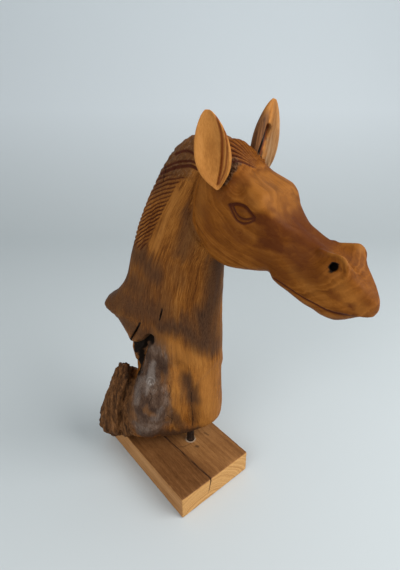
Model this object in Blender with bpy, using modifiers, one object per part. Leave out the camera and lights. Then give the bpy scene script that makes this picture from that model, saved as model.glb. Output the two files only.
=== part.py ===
"""A horse's head carved from driftwood, with two ears let into it, held on a plank by a steel rod.

Metres, +Z up. The origin is the middle of the plank's underside, +X runs along the plank
towards the end that the horse looks over, and +Y is the horse's left.
"""

import math

import bmesh
import bpy
import numpy as np
from mathutils import Matrix, Vector, noise

# The plank and its split, in metres, with how far the split's cutter runs past the wood
PLANK_LENGTH = 0.160
PLANK_WIDTH = 0.100
PLANK_THICKNESS = 0.030
PLANK_EDGE_ROUND = 0.0015
SPLIT_WIDTH = 0.0014
SPLIT_DEPTH_AT_END = 0.018
SPLIT_DEPTH_INSIDE = 0.003
SPLIT_LENGTH = 0.092
SPLIT_Y_AT_END = -0.008
SPLIT_Y_INSIDE = -0.013
SPLIT_LEAN = -0.004
SPLIT_OVERRUN = 0.004

# The rod, in blind holes with a little room around it
ROD_DIAMETER = 0.009
ROD_X = 0.0195
ROD_Y = 0.0102
ROD_DEPTH_IN_PLANK = 0.018
ROD_HEIGHT_OVER_PLANK = 0.050
SEAT_GAP = 0.0003

# The carved figure, from the plank's top to the poll between the ears
FIGURE_HEIGHT = 0.360

# The figure's own unit is a 360th of its height, and all that follows is in that unit
UNIT = FIGURE_HEIGHT / 360
FIGURE_VOXEL = 1.2
FIGURE_TRIANGLES = 7700
EAR_VOXEL = 0.9
EAR_TRIANGLES = 540

# Where the neck's upright axis stands over the plank
NECK_AXIS = (16.0, 28.0)

# Neck and trunk, one row a level:
# height at the back, rise to the front, back, front, right half, left half, heading in degrees
TRUNK = [
    (5, 13, -84, 4, 19, 18, 49),
    (8, 17, -95, 20, 28, 28, 49),
    (18, 19, -98, 28, 33, 34, 49),
    (36, 19, -96, 29.5, 36, 37, 49),
    (60, 17, -88, 28.5, 38, 39, 48),
    (84, 13, -76, 27.5, 36, 38, 48),
    (108, 6, -74, 27, 33, 36, 47),
    (128, 0, -76, 26, 31, 35, 46),
    (150, 0, -82, 26, 30, 34, 45),
    (170, 0, -93, 25.5, 29, 33, 44),
    (184, 0, -106, 25, 29, 32, 43),
    (196, 0, -92, 25, 28, 31, 42),
    (206, 0, -84, 25, 28, 31, 41),
    (218, 0, -78, 25, 28, 30, 40),
    (240, 0, -73, 25, 27, 29, 37),
    (265, 0, -66, 26, 26, 28, 33),
    (290, 0, -57, 28, 25, 27, 29),
    (318, 0, -43, 33, 24, 26, 24),
    (338, 0, -30, 36, 22, 24, 21),
    (350, 0, -19, 35, 18, 20, 20),
    (358, 0, -7, 30, 12, 13, 20),
    (361, 0, 4, 22, 5, 5, 20),
]

# The rough burl at the foot of the back, in the same columns
BURL = [
    (2.5, 0, -112, -82, 12, 13, 49),
    (7, 0, -122, -71, 19, 23, 49),
    (17, 0, -126.5, -66, 24, 28, 49),
    (30, 0, -124, -64, 26, 32, 49),
    (50, 0, -117, -62, 27, 32, 49),
    (68, 0, -110, -60, 25, 28, 49),
    (81, 0, -105, -66, 21, 20, 49),
    (92, 0, -101, -75, 15, 11, 49),
    (100, 0, -97, -81, 10, 6, 49),
    (105, 0, -93, -84, 5, 3, 49),
]

# The grey swelling on the trunk's right, an egg with its narrow end up: along, left and up
SWELLING_CENTRE = (-54, -16, 75)
SWELLING_RADII = (39, 33, 66)
SWELLING_TAPER = 0.45
SWELLING_TILT = 11.0

# The head's axis starts at the origin, along its heading from the neck's axis, and points down
HEAD_ORIGIN = (30.0, 305.0)
HEAD_HEADING = 12.0
HEAD_PITCH = 27.0

# One row a station from the poll to the lips:
# along, top, shoulder out and up, side out and up, jaw out and up, underside
HEAD = [
    (-28, 44, 10, 41, 15, 32, 11, 20, 15),
    (-20, 49, 17, 44, 24, 28, 20, 4, -4),
    (-11, 48.5, 20, 43.5, 28, 22, 25, -15, -26),
    (2, 44.5, 22, 41.5, 31, 16, 28, -25, -38),
    (18, 40, 25, 38, 33, 12, 29, -34, -47),
    (32, 39.5, 28, 38, 34, 10, 28, -36, -48),
    (42, 39.5, 29, 37.5, 33, 10, 26.5, -34, -46),
    (54, 32, 25, 30, 29.5, 8, 23.5, -28, -38.5),
    (66, 27.5, 20, 26, 25.5, 6, 20.5, -21, -30),
    (75, 26.5, 15, 25, 23.5, 4, 18.5, -16, -24),
    (84, 26, 14, 24.5, 23.5, 3, 20.5, -21, -30),
    (94, 26, 13, 24.5, 23.5, 2, 20.5, -21, -30),
    (104, 26, 15, 25.5, 25, 3, 20.5, -20, -29.5),
    (111, 26, 18, 30, 26.5, 6, 21, -19, -28.5),
    (117, 25.5, 19, 34, 27, 8, 21, -18, -27.5),
    (124, 25, 19, 32, 27, 7.5, 21, -16.5, -26),
    (132, 24.5, 16.5, 26, 26, 5, 21.5, -16, -25.5),
    (142, 22.5, 13.5, 21.5, 22.5, 4, 19, -13.5, -22.5),
    (151, 19, 10, 17, 17, 3, 13.5, -9, -15.5),
    (158, 14, 5.5, 12.5, 10, 3.5, 7.5, -1.5, -6.5),
    (161.5, 9, 2, 8, 4, 5, 3, 3, 2),
]

# Upper lid, lower lid and the fold under it: points along and up the head's side, depth, reach
EYE_LINES = [
    ([(21, 17.3), (27.7, 23), (35, 25.5), (41, 24.2), (45, 22.5)], 1.8, 2.1),
    ([(24.5, 18.5), (29.8, 15.9), (34.3, 15.2), (40, 17), (45, 22)], 1.5, 1.8),
    ([(21, 17.3), (24.9, 15.2), (29, 13.2), (34, 11.4), (39.7, 12.6), (44, 16.9), (46, 20.5)], 1.3, 1.8),
]

# Eyeball, socket and brow: centre along and up, reach along and up, height
EYE_SWELLS = [
    ((34.5, 20.2), (9.5, 4.6), 1.0),
    ((19, 31), (15, 9), -1.8),
    ((45, 31), (14, 9), 1.2),
]

# The line between the lips and the cheek's back edge, as points along and up the head's side
MOUTH = [(80, -18), (94, -15.5), (105, -13), (118, -9.8), (128, -7), (138, -4), (147, -1), (166, 3)]
MOUTH_DEPTH = 2.5
MOUTH_REACH = 2.2
LOWER_LIP_BACK = 1.9
CHEEK_EDGE = [(-24, 28), (-22, 6), (-17, -12), (-13, -24), (-4, -35), (8, -43)]
CHEEK_EDGE_DEPTH = 1.6
CHEEK_EDGE_REACH = 4

# The raised rim over each nostril and the furrow inside it: points along, up and out, height, reach
NOSTRIL_LINES = [
    ([(100, 27, 15), (106, 30.5, 15), (112, 34, 17.5), (119, 35, 20.5), (129, 27, 24)], 2.8, 5.5),
    ([(106, 28, 18), (111.5, 32, 19), (118.5, 32.5, 21.5), (123.5, 28.5, 23)], -2.3, 3.6),
]

# Each nostril's hole, whose bit points this way along, up and out, and the dish around it
NOSTRIL_CENTRE = (116.5, 27, 23)
NOSTRIL_DIAMETER = 7.5
NOSTRIL_END_DIAMETER = 6.0
NOSTRIL_DEPTH = 13
NOSTRIL_WAY = (-0.15, -0.42, -0.80)
NOSTRIL_CLEARANCE = 6
NOSTRIL_DISH_DEPTH = 1.8
NOSTRIL_DISH_REACH = 10

# The forelock's locks fan out from a point on the forehead, to this angle on both sides
FORELOCK_POINT = (18, 6)
FORELOCK_LENGTH = 42
FORELOCK_SPREAD = 1.08
FORELOCK_STRANDS = 13
FORELOCK_HEIGHT = 1.7
FORELOCK_GROOVE_DEPTH = 2.6

# The mane's inner edge and crest on the neck's side, as points along and up, and its grooves,
# which slant by the level and drop towards the neck's sides
MANE_EDGE = [(-56, 246), (-44, 263), (-35, 279), (-26, 294), (-14.5, 312), (-6, 322), (14, 333)]
MANE_CREST = [(-66, 256), (-51, 285), (-42, 303), (-34, 316), (-20, 336), (-6, 353)]
MANE_SLANT = [(262, 0.80), (286, 0.72), (300, 0.54), (325, 0.22), (345, 0.0)]
MANE_DROP = 0.49
MANE_WAVE = 1.9
MANE_GROOVE_PITCH = 5.3
MANE_GROOVE_DEPTH = 2.2
MANE_RIM_OFFSET = 2.5
MANE_RIM_HEIGHT = 0.9
MANE_RIM_REACH = 3.5

# Bold cuts across the crown: path along and up, depth, reach
CROWN_LINES = [
    ([(-34, 324), (-18, 330.6), (-8, 333.7), (2.5, 335.1), (10, 333.2)], 2.0, 2.2),
    ([(-30, 329.5), (-17, 335), (-7, 338), (4, 339), (12, 336.5)], 1.4, 1.8),
    ([(-16, 343), (-4, 347), (8, 345)], 1.4, 1.9),
]

# Hollows and creases of the trunk's right side: path along and up, depth, reach
TRUNK_CUTS = [
    ([(-51, 156), (-57, 148), (-62, 138), (-65, 127), (-67, 117)], 12, 7),
    ([(-60, 146), (-66, 141), (-72, 138)], 8, 8),
    ([(-71, 113), (-75, 100), (-86, 74), (-92, 58), (-95, 26), (-97, 8)], 5, 5),
    ([(-21, 122), (-16, 106), (-9.5, 89), (-9, 60), (-10, 42)], 4, 12),
]

# Drying cracks in the same place: both ends, depth, half the width
TRUNK_CRACKS = [
    ((-60, 174), (-77, 143), 6, 1.7),
    ((-35, 192), (-38.5, 180), 3, 1.2),
]

# Slow waves of the worn wood and the burl's rough growth: size of the lumps along each axis, height
WORN_WAVES = ((24, 24, 60), 0.9)
BURL_LUMPS = ((9, 9, 22), 2.6)
BURL_GRAINS = ((4, 4, 8), 1.2)

# An ear's leaf: where along its length it is widest and deepest, by a power, how blunt its ends are
# in width and depth, and how much more pointed its foot is
EAR_WIDEST = 0.86
EAR_DEEPEST = 0.80
EAR_WIDTH_BLUNT = 0.62
EAR_DEPTH_BLUNT = 0.7
EAR_FOOT_POINT = 0.5

# Each ear: foot and tip in the head's plan, along, height and left; half width, depth; heading it
# opens to; how far its middle bends away; its section's outline, across and towards its opening;
# and its grooves, as a path across and up from the foot, depth, reach
RIGHT_EAR = dict(
    foot=(49, 322, -38.5),
    tip=(44, 383.5, -48),
    half_width=14.3,
    depth=14,
    opening=-42,
    bend=1.5,
    section=[
        (-1.0, 0.0), (-0.5, -0.14), (0.0, -0.22), (0.44, -0.26), (0.66, -0.10), (0.84, 0.08),
        (1.0, -0.15), (0.80, -0.62), (0.2, -0.98), (-0.45, -0.78), (-0.88, -0.32),
    ],
    grooves=[
        ([(0.8, 5), (4.8, 16), (7.6, 30), (8.4, 43), (6.4, 56)], 1.9, 1.9),
        ([(1.8, 5), (7.4, 14), (10.2, 24), (11.6, 34), (11.4, 47)], 1.6, 1.7),
    ],
)
LEFT_EAR = dict(
    foot=(48, 320, 27),
    tip=(48.5, 389.5, 46),
    half_width=14,
    depth=15,
    opening=-14,
    bend=-2.0,
    section=[
        (-0.95, -0.1), (-0.6, 0.10), (-0.2, -0.06), (0.0, -0.2), (0.25, -0.1), (0.6, 0.08),
        (0.95, -0.1), (0.8, -0.6), (0.0, -1.0), (-0.8, -0.6),
    ],
    grooves=[
        ([(-6.5, 18), (-6, 24), (-3.5, 36), (-1, 47)], 5, 3.8),
    ],
)


def direction(degrees):
    """Unit vector on the ground at that heading, and the one to its left."""
    angle = math.radians(degrees)
    return np.array([math.cos(angle), math.sin(angle)]), np.array([-math.sin(angle), math.cos(angle)])


def between_rows(rows, step):
    """The table's rows with more rows between them, on smooth curves through every column."""
    rows = np.array(rows, float)
    slopes = np.gradient(rows, axis=0)
    finer = []
    for i in range(len(rows) - 1):
        parts = max(1, math.ceil(abs(rows[i + 1, 0] - rows[i, 0]) / step))
        for t in np.arange(parts) / parts:
            start, leave = 2 * t**3 - 3 * t**2 + 1, t**3 - 2 * t**2 + t
            end, arrive = -2 * t**3 + 3 * t**2, t**3 - t**2
            finer.append(start * rows[i] + leave * slopes[i] + end * rows[i + 1] + arrive * slopes[i + 1])
    finer.append(rows[-1])
    return np.array(finer)


def smooth_point(p0, p1, p2, p3, t):
    """A point of the smooth curve from p1 to p2."""
    return 0.5 * (
        2 * p1 + (p2 - p0) * t + (2 * p0 - 5 * p1 + 4 * p2 - p3) * t**2 + (3 * p1 - p0 - 3 * p2 + p3) * t**3
    )


def closed_curve(points, parts):
    """Points on a smooth closed curve through the given ones."""
    points = np.array(points, float)
    corners = [[points[(i + k) % len(points)] for k in (-1, 0, 1, 2)] for i in range(len(points))]
    return [smooth_point(*four, t) for four in corners for t in np.arange(parts) / parts]


def open_curve(points, parts=4):
    """Points on a smooth curve from the first of the given ones to the last."""
    points = np.array(points, float)
    padded = [2 * points[0] - points[1], *points, 2 * points[-1] - points[-2]]
    fours = [padded[i : i + 4] for i in range(len(points) - 1)]
    curve = [smooth_point(*four, t) for four in fours for t in np.arange(parts) / parts]
    return np.array([*curve, points[-1]])


def upright_ring(row, corners=64):
    """One level of the neck: an oval that is blunter than an ellipse, tilted up to its front."""
    height, rise, back, front, right, left, heading = row
    ahead, aside = direction(heading)
    middle, half = (front + back) / 2, (front - back) / 2
    ring = []
    for k in range(corners):
        turn = 2 * math.pi * k / corners
        c, s = math.cos(turn), math.sin(turn)
        along = middle + half * math.copysign(abs(c) ** 0.85, c)
        out = (left if s > 0 else right) * math.copysign(abs(s) ** 0.85, s)
        flat = np.array(NECK_AXIS) + ahead * along + aside * out
        ring.append((flat[0], flat[1], height + rise * (along - back) / (front - back)))
    return ring


def head_axes():
    """Origin of the head, and its directions along, up and left as the rows of a matrix."""
    ahead, aside = direction(HEAD_HEADING)
    flat = np.array(NECK_AXIS) + ahead * HEAD_ORIGIN[0]
    pitch = math.radians(HEAD_PITCH)
    along = [*(ahead * math.cos(pitch)), -math.sin(pitch)]
    up = [*(ahead * math.sin(pitch)), math.cos(pitch)]
    return np.array([*flat, HEAD_ORIGIN[1]]), np.array([along, up, [*aside, 0.0]])


def head_ring(row):
    """One station of the head, across its axis."""
    along, top, shoulder_out, shoulder_up, side_out, side_up, jaw_out, jaw_up, under = row
    half = [(shoulder_out, shoulder_up), (side_out, side_up), (jaw_out, jaw_up)]
    outline = [(0, top), *half, (0, under), *[(-out, up) for out, up in reversed(half)]]
    origin, axes = head_axes()
    return [origin + axes[0] * along + axes[1] * up + axes[2] * out for out, up in closed_curve(outline, 8)]


def loft(bm, rings):
    """Skins the rings into a closed body and adds it to bm."""
    rows = [[bm.verts.new(Vector(p)) for p in ring] for ring in rings]
    count = len(rows[0])
    for lower, upper in zip(rows, rows[1:]):
        for k in range(count):
            bm.faces.new((lower[k], lower[(k + 1) % count], upper[(k + 1) % count], upper[k]))
    bm.faces.new(list(reversed(rows[0])))
    bm.faces.new(rows[-1])


def swelling(bm):
    """The rounded grey lump: a stretched sphere, narrower to its top, leaning on the trunk's axes."""
    heading = TRUNK[0][-1]
    ahead, aside = direction(heading)
    along, left, height = SWELLING_CENTRE
    flat = np.array(NECK_AXIS) + ahead * along + aside * left
    place = Matrix.Translation((*flat, height)) @ Matrix.Rotation(math.radians(heading), 4, "Z")
    place = place @ Matrix.Rotation(math.radians(SWELLING_TILT), 4, "Y")
    place = place @ Matrix.Diagonal((*SWELLING_RADII, 1))
    verts = bmesh.ops.create_uvsphere(bm, u_segments=32, v_segments=20, radius=1)["verts"]
    for vert in verts:
        vert.co.xy *= 1 - SWELLING_TAPER * (vert.co.z + 1) / 2
    bmesh.ops.transform(bm, matrix=place, verts=verts)


def mesh_from(bm, name):
    """A mesh of bm with its faces pointing out. bm is freed."""
    bmesh.ops.recalc_face_normals(bm, faces=bm.faces)
    mesh = bpy.data.meshes.new(name)
    bm.to_mesh(mesh)
    bm.free()
    return mesh


def with_modifiers(mesh, *settings):
    """A new mesh: the old one with modifiers applied, each given as its type and its values."""
    obj = bpy.data.objects.new(mesh.name, mesh)
    bpy.context.scene.collection.objects.link(obj)
    for kind, values in settings:
        modifier = obj.modifiers.new(kind.title(), kind)
        for key, value in values.items():
            setattr(modifier, key, value)
    graph = bpy.context.evaluated_depsgraph_get()
    result = bpy.data.meshes.new_from_object(obj.evaluated_get(graph))
    bpy.data.objects.remove(obj)
    return result


def one_skin(mesh, voxel, rounds):
    """Overlapping bodies run together into one even skin, softened over some rounds."""
    return with_modifiers(
        mesh,
        ("REMESH", dict(mode="VOXEL", voxel_size=voxel)),
        ("SMOOTH", dict(factor=0.5, iterations=rounds)),
    )


def rough_figure(voxel):
    """Trunk, burl, swelling and head in one skin, before the carving."""
    bm = bmesh.new()
    loft(bm, [upright_ring(row) for row in between_rows(TRUNK, 4)])
    loft(bm, [upright_ring(row) for row in between_rows(BURL, 4)])
    loft(bm, [head_ring(row) for row in between_rows(HEAD, 3)])
    swelling(bm)
    return one_skin(mesh_from(bm, "rough"), voxel, 14)


def smooth_step(value, low, high):
    """0 below low, 1 above high, and a smooth rise between."""
    t = np.clip((value - low) / (high - low), 0, 1)
    return t * t * (3 - 2 * t)


def bump(distance, reach):
    """1 at no distance, fading smoothly to 0 at the reach."""
    t = np.clip(distance / reach, 0, 1)
    return (1 - t * t) ** 2


def distance_to(points, path):
    """How far each point is from a path."""
    nearest = np.full(len(points), np.inf)
    for start, end in zip(path, path[1:]):
        leg = end - start
        share = np.clip((points - start) @ leg / (leg @ leg), 0, 1)
        gap = np.linalg.norm(points - start - share[:, None] * leg, axis=1)
        nearest = np.minimum(nearest, gap)
    return nearest


def ragged(points, sizes, seed):
    """Noise from -1 to 1 whose lumps have these sizes along the three axes."""
    shift = Vector((seed * 7.3, seed * 3.1, seed * 5.7))
    return np.array([noise.noise(Vector(p) + shift) for p in points / np.array(sizes)])


class Skin:
    """A figure's points in row units, in the head's coordinates and in the neck's."""

    def __init__(self, points):
        self.points = points
        origin, axes = head_axes()
        self.along, self.up, self.out = ((points - origin) @ axes.T).T
        table = np.array(TRUNK, float)
        headings = np.radians(np.interp(points[:, 2], table[:, 0] + table[:, 1] / 2, table[:, -1]))
        flat = points[:, :2] - np.array(NECK_AXIS)
        self.neck_along = flat[:, 0] * np.cos(headings) + flat[:, 1] * np.sin(headings)
        self.neck_left = flat[:, 1] * np.cos(headings) - flat[:, 0] * np.sin(headings)
        self.height = points[:, 2]

    def side_of_head(self):
        return np.stack([self.along, self.up], axis=1)

    def side_of_neck(self):
        return np.stack([self.neck_along, self.height], axis=1)


def deepest_of(place, lines):
    """How deep the deepest of the lines is at each place. Each is a path, a depth and a reach."""
    deepest = np.zeros(len(place))
    for path, depth, reach in lines:
        deepest = np.maximum(deepest, depth * bump(distance_to(place, open_curve(path)), reach))
    return deepest


def eyes(skin):
    """A rounded ball between two lids, with a fold under the lower one, and the bone around it."""
    place = skin.side_of_head()
    lids = smooth_step(abs(skin.out), 20, 24) * deepest_of(place, EYE_LINES)
    swells = 0
    for centre, reach, height in EYE_SWELLS:
        swells = swells + height * bump(np.linalg.norm((place - centre) / reach, axis=1), 1)
    return smooth_step(abs(skin.out), 12, 24) * swells - lids


def mouth(skin):
    """The line between the lips, and the lower jaw set back under it."""
    line = open_curve(MOUTH)
    groove = MOUTH_DEPTH * bump(distance_to(skin.side_of_head(), line), MOUTH_REACH)
    under_line = smooth_step(np.interp(skin.along, line[:, 0], line[:, 1]) - skin.up, 0.3, 2)
    set_back = LOWER_LIP_BACK * (1 + smooth_step(skin.along, 140, 156))
    return -smooth_step(skin.along, 79, 85) * (groove + set_back * under_line)


def nostrils(skin):
    """A raised rim over each nostril, with a furrow inside it and a dish around the hole."""
    place = np.stack([skin.along, skin.up, abs(skin.out)], axis=1)
    dish = bump(np.linalg.norm(place - np.array(NOSTRIL_CENTRE), axis=1), NOSTRIL_DISH_REACH)
    raised = -NOSTRIL_DISH_DEPTH * dish
    for path, height, reach in NOSTRIL_LINES:
        raised = raised + height * bump(distance_to(place, open_curve(path)), reach)
    return raised


def cheeks(skin):
    """The edge where the head's round cheeks stand over the neck."""
    behind = deepest_of(skin.side_of_head(), [(CHEEK_EDGE, CHEEK_EDGE_DEPTH, CHEEK_EDGE_REACH)])
    return -behind * smooth_step(abs(skin.out), 10, 16)


def strands(count_across, depth):
    """Grooves at each whole number, rounded locks between them."""
    return depth * (1 - abs(np.sin(math.pi * count_across))) ** 1.5


def forelock_parts(skin):
    """How far inside the forelock each point is, and how deep its groove is there."""
    back, aside = FORELOCK_POINT[0] - skin.along, skin.out - FORELOCK_POINT[1]
    angle = np.arctan2(aside, np.maximum(back, 0.1))
    inside = smooth_step(back, 0, 4) * smooth_step(FORELOCK_LENGTH - back, 0, 10)
    inside = inside * smooth_step(FORELOCK_SPREAD - abs(angle), 0, 0.12) * smooth_step(skin.up, 34, 38)
    grooves = strands(angle / FORELOCK_SPREAD * FORELOCK_STRANDS / 2, FORELOCK_GROOVE_DEPTH)
    return inside, grooves * smooth_step(np.hypot(back, aside), 5, 14)


def forelock(skin):
    """Locks that run from the poll to a point on the forehead."""
    inside, grooves = forelock_parts(skin)
    return inside * (FORELOCK_HEIGHT - grooves)


def at_level(skin, path):
    """Where along the neck the path runs, at each point's level."""
    curve = open_curve(path)
    return np.interp(skin.height, curve[:, 1], curve[:, 0])


def mane_grooves(skin):
    """Slanting grooves from the mane's inner edge down to the crest, and the cuts across the crown."""
    inner, outer = at_level(skin, MANE_EDGE), at_level(skin, MANE_CREST)
    inside = smooth_step(inner - skin.neck_along, -1, 3)
    inside = inside * smooth_step(skin.height, 248, 254) * smooth_step(330 - skin.height, 0, 8)
    slant = np.interp(skin.height, *zip(*MANE_SLANT))
    level = skin.height - MANE_DROP * abs(skin.neck_left) - slant * (skin.neck_along - outer)
    count = (level + MANE_WAVE * ragged(skin.points, (9, 9, 14), 3)) / MANE_GROOVE_PITCH
    uneven = 0.85 + 0.5 * ragged(np.stack([count, 0 * count, 0 * count], axis=1), (1.3, 1, 1), 4)
    cuts = deepest_of(skin.side_of_neck(), CROWN_LINES) * smooth_step(abs(skin.neck_left), 3, 8)
    return np.maximum(inside * strands(count, MANE_GROOVE_DEPTH) * uneven, cuts)


def mane(skin):
    """The mane's grooves, and the ridge along its inner edge."""
    beside = at_level(skin, MANE_EDGE) + MANE_RIM_OFFSET - skin.neck_along
    rim = MANE_RIM_HEIGHT * bump(abs(beside), MANE_RIM_REACH) * smooth_step(abs(skin.neck_left), 6, 12)
    rim = rim * smooth_step(skin.height, 244, 256) * smooth_step(330 - skin.height, 0, 8)
    return rim - mane_grooves(skin)


def trunk_cuts(skin):
    """Hollows, creases and cracks on the trunk's right side."""
    place = skin.side_of_neck()
    deepest = deepest_of(place, TRUNK_CUTS)
    for start, end, depth, reach in TRUNK_CRACKS:
        middle, half = (np.array(start) + end) / 2, (np.array(end) - start) / 2
        length = np.linalg.norm(half)
        along = (place - middle) @ half / length
        aside = (place - middle) @ np.array([-half[1], half[0]]) / length
        deepest = np.maximum(deepest, depth * bump(np.hypot(along / length, aside / reach), 1))
    return -deepest * smooth_step(-skin.neck_left, -2, 8)


def weathering(skin):
    """Slow waves of the worn wood, and the burl's ragged growth."""
    (waves, lumps, grains) = (
        height * ragged(skin.points, sizes, seed)
        for seed, (sizes, height) in enumerate((WORN_WAVES, BURL_LUMPS, BURL_GRAINS), 1)
    )
    burl = smooth_step(-72 - skin.neck_along, 0, 10) * smooth_step(118 - skin.height, 0, 8)
    worn = waves * smooth_step(320 - skin.height, 0, 60)
    return worn * (1 - burl) + (lumps + grains) * burl * smooth_step(skin.height, 2, 12)


def pushed(mesh, how_far):
    """The mesh with its points moved out along its own directions. how_far takes points and directions."""
    count = len(mesh.vertices)
    points, normals = np.empty(count * 3), np.empty(count * 3)
    mesh.vertices.foreach_get("co", points)
    mesh.vertex_normals.foreach_get("vector", normals)
    points, normals = points.reshape(-1, 3), normals.reshape(-1, 3)
    push = how_far(points, normals)
    mesh.vertices.foreach_set("co", (points + normals * np.reshape(push, (-1, 1))).ravel())
    mesh.update()
    return mesh


def carving(points, _normals):
    """How far the carver's work pushes each point of the figure."""
    skin = Skin(points)
    works = (eyes, mouth, nostrils, cheeks, forelock, mane, trunk_cuts, weathering)
    return sum(work(skin) for work in works)


def thinned(mesh, triangles):
    """The mesh with no more than that many triangles, most of them where it curves most."""
    now = sum(len(face.vertices) - 2 for face in mesh.polygons)
    return with_modifiers(
        mesh, ("DECIMATE", dict(ratio=min(1, triangles / now), use_collapse_triangulate=True))
    )


def ear_axes(ear):
    """Foot of an ear, its length, and its directions across, up and towards its opening."""
    ahead, aside = direction(HEAD_HEADING)
    foot, tip = (
        np.array([*(np.array(NECK_AXIS) + ahead * along + aside * left), height])
        for along, height, left in (ear["foot"], ear["tip"])
    )
    length = np.linalg.norm(tip - foot)
    axis = (tip - foot) / length
    opening = np.array([*direction(ear["opening"])[0], 0])
    opening = opening - axis * (opening @ axis)
    opening = opening / np.linalg.norm(opening)
    return foot, length, np.array([np.cross(axis, opening), axis, opening])


def ear_rings(ear, count=40):
    """Rings of an ear from its foot to its tip, a leaf with a folded section."""
    foot, length, (across, axis, opening) = ear_axes(ear)
    section = closed_curve(ear["section"], 6)
    rings = []
    for t in np.linspace(0.012, 0.988, count):
        blunt = EAR_WIDTH_BLUNT + EAR_FOOT_POINT * (1 - t) ** 3
        width = ear["half_width"] * math.sin(math.pi * t**EAR_WIDEST) ** blunt
        depth = ear["depth"] * math.sin(math.pi * t**EAR_DEEPEST) ** EAR_DEPTH_BLUNT
        middle = foot + axis * length * t - opening * ear["bend"] * math.sin(math.pi * t)
        rings.append([middle + across * x * width + opening * y * depth for x, y in section])
    return rings


def ear_carving(ear):
    """How far an ear's grooves push each of its points."""
    foot, _length, axes = ear_axes(ear)

    def how_far(points, normals):
        place = ((points - foot) @ axes.T)[:, :2]
        return -deepest_of(place, ear["grooves"]) * smooth_step(normals @ axes[2], 0, 0.3)

    return how_far


def placed(mesh):
    """Brings a mesh from the figure's units to metres over the plank."""
    mesh.transform(Matrix.Translation((0, 0, PLANK_THICKNESS)) @ Matrix.Scale(UNIT, 4))
    return mesh


def material(name, colour, roughness, metallic=0.0):
    """A plain Principled material."""
    made = bpy.data.materials.new(name)
    made.use_nodes = True
    shader = made.node_tree.nodes["Principled BSDF"]
    shader.inputs["Base Color"].default_value = (*colour, 1)
    shader.inputs["Roughness"].default_value = roughness
    shader.inputs["Metallic"].default_value = metallic
    made.diffuse_color = (*colour, 1)
    return made


def add(collection, name, mesh, look=None):
    """Puts a mesh in the collection as a named object."""
    obj = bpy.data.objects.new(name, mesh)
    mesh.name = name
    collection.objects.link(obj)
    if look:
        mesh.materials.clear()
        mesh.materials.append(look)
    return obj


def cutter(collection, name, mesh):
    """A mesh that only cuts: drawn as wires and never rendered."""
    obj = add(collection, name, mesh)
    obj.display_type = "WIRE"
    obj.hide_render = True
    return obj


def cut(obj, tool):
    """Takes the tool's shape out of the object."""
    boolean = obj.modifiers.new(f"less_{tool.name}", "BOOLEAN")
    boolean.operation = "DIFFERENCE"
    boolean.object = tool


def cylinder(name, radius, bottom, top, segments=48):
    """An upright cylinder at the rod's place."""
    bm = bmesh.new()
    bmesh.ops.create_cone(
        bm, cap_ends=True, segments=segments, radius1=radius, radius2=radius, depth=top - bottom,
        matrix=Matrix.Translation((ROD_X, ROD_Y, (bottom + top) / 2)),
    )
    return mesh_from(bm, name)


def plank_mesh():
    """A sawn board with lightly worn edges."""
    bm = bmesh.new()
    size = Matrix.Diagonal((PLANK_LENGTH, PLANK_WIDTH, PLANK_THICKNESS, 1))
    bmesh.ops.create_cube(bm, size=1, matrix=Matrix.Translation((0, 0, PLANK_THICKNESS / 2)) @ size)
    bmesh.ops.bevel(
        bm, geom=bm.edges[:], offset=PLANK_EDGE_ROUND, segments=3, profile=0.5, affect="EDGES"
    )
    return mesh_from(bm, "plank")


def split_mesh():
    """The long wedge that the plank's drying split leaves open, deepest at the plank's end."""
    bm = bmesh.new()
    rings = []
    for x, y, depth, width in (
        (PLANK_LENGTH / 2 + SPLIT_OVERRUN, SPLIT_Y_AT_END, SPLIT_DEPTH_AT_END, SPLIT_WIDTH),
        (PLANK_LENGTH / 2 - SPLIT_LENGTH, SPLIT_Y_INSIDE, SPLIT_DEPTH_INSIDE, SPLIT_WIDTH / 2),
    ):
        widen = width * (1 + SPLIT_OVERRUN / depth) / 2
        lean = SPLIT_LEAN * depth / SPLIT_DEPTH_AT_END
        rings.append([
            (x, y - widen, PLANK_THICKNESS + SPLIT_OVERRUN),
            (x, y + widen, PLANK_THICKNESS + SPLIT_OVERRUN),
            (x, y + lean, PLANK_THICKNESS - depth),
        ])
    loft(bm, rings)
    return mesh_from(bm, "plank_split")


def nostril_mesh(name, side):
    """The round bit that drills one nostril, pointing into the muzzle."""
    origin, axes = head_axes()
    along, up, out = NOSTRIL_CENTRE
    mouth_of_hole = origin + axes[0] * along + axes[1] * up + axes[2] * out * side
    drill = Vector(np.array(NOSTRIL_WAY) * (1, 1, side) @ axes).normalized()
    bm = bmesh.new()
    turn = drill.to_track_quat("Z", "Y").to_matrix().to_4x4()
    middle = Vector(mouth_of_hole) + drill * (NOSTRIL_DEPTH - NOSTRIL_CLEARANCE) / 2
    bmesh.ops.create_cone(
        bm, cap_ends=True, segments=28, radius1=NOSTRIL_DIAMETER / 2, radius2=NOSTRIL_END_DIAMETER / 2,
        depth=NOSTRIL_DEPTH + NOSTRIL_CLEARANCE, matrix=Matrix.Translation(middle) @ turn,
    )
    return placed(mesh_from(bm, name))


def ear_mesh(ear):
    """One whole ear, before it is fitted to the head."""
    bm = bmesh.new()
    loft(bm, ear_rings(ear))
    whole = pushed(one_skin(mesh_from(bm, "ear"), EAR_VOXEL, 5), ear_carving(ear))
    return placed(thinned(whole, EAR_TRIANGLES))


def figure_mesh():
    """The carved figure, thinned to its facets."""
    return placed(thinned(pushed(rough_figure(FIGURE_VOXEL), carving), FIGURE_TRIANGLES))


def smooth_shade(obj, degrees):
    obj.data.shade_smooth()
    obj.data.set_sharp_from_angle(angle=math.radians(degrees))


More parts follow.
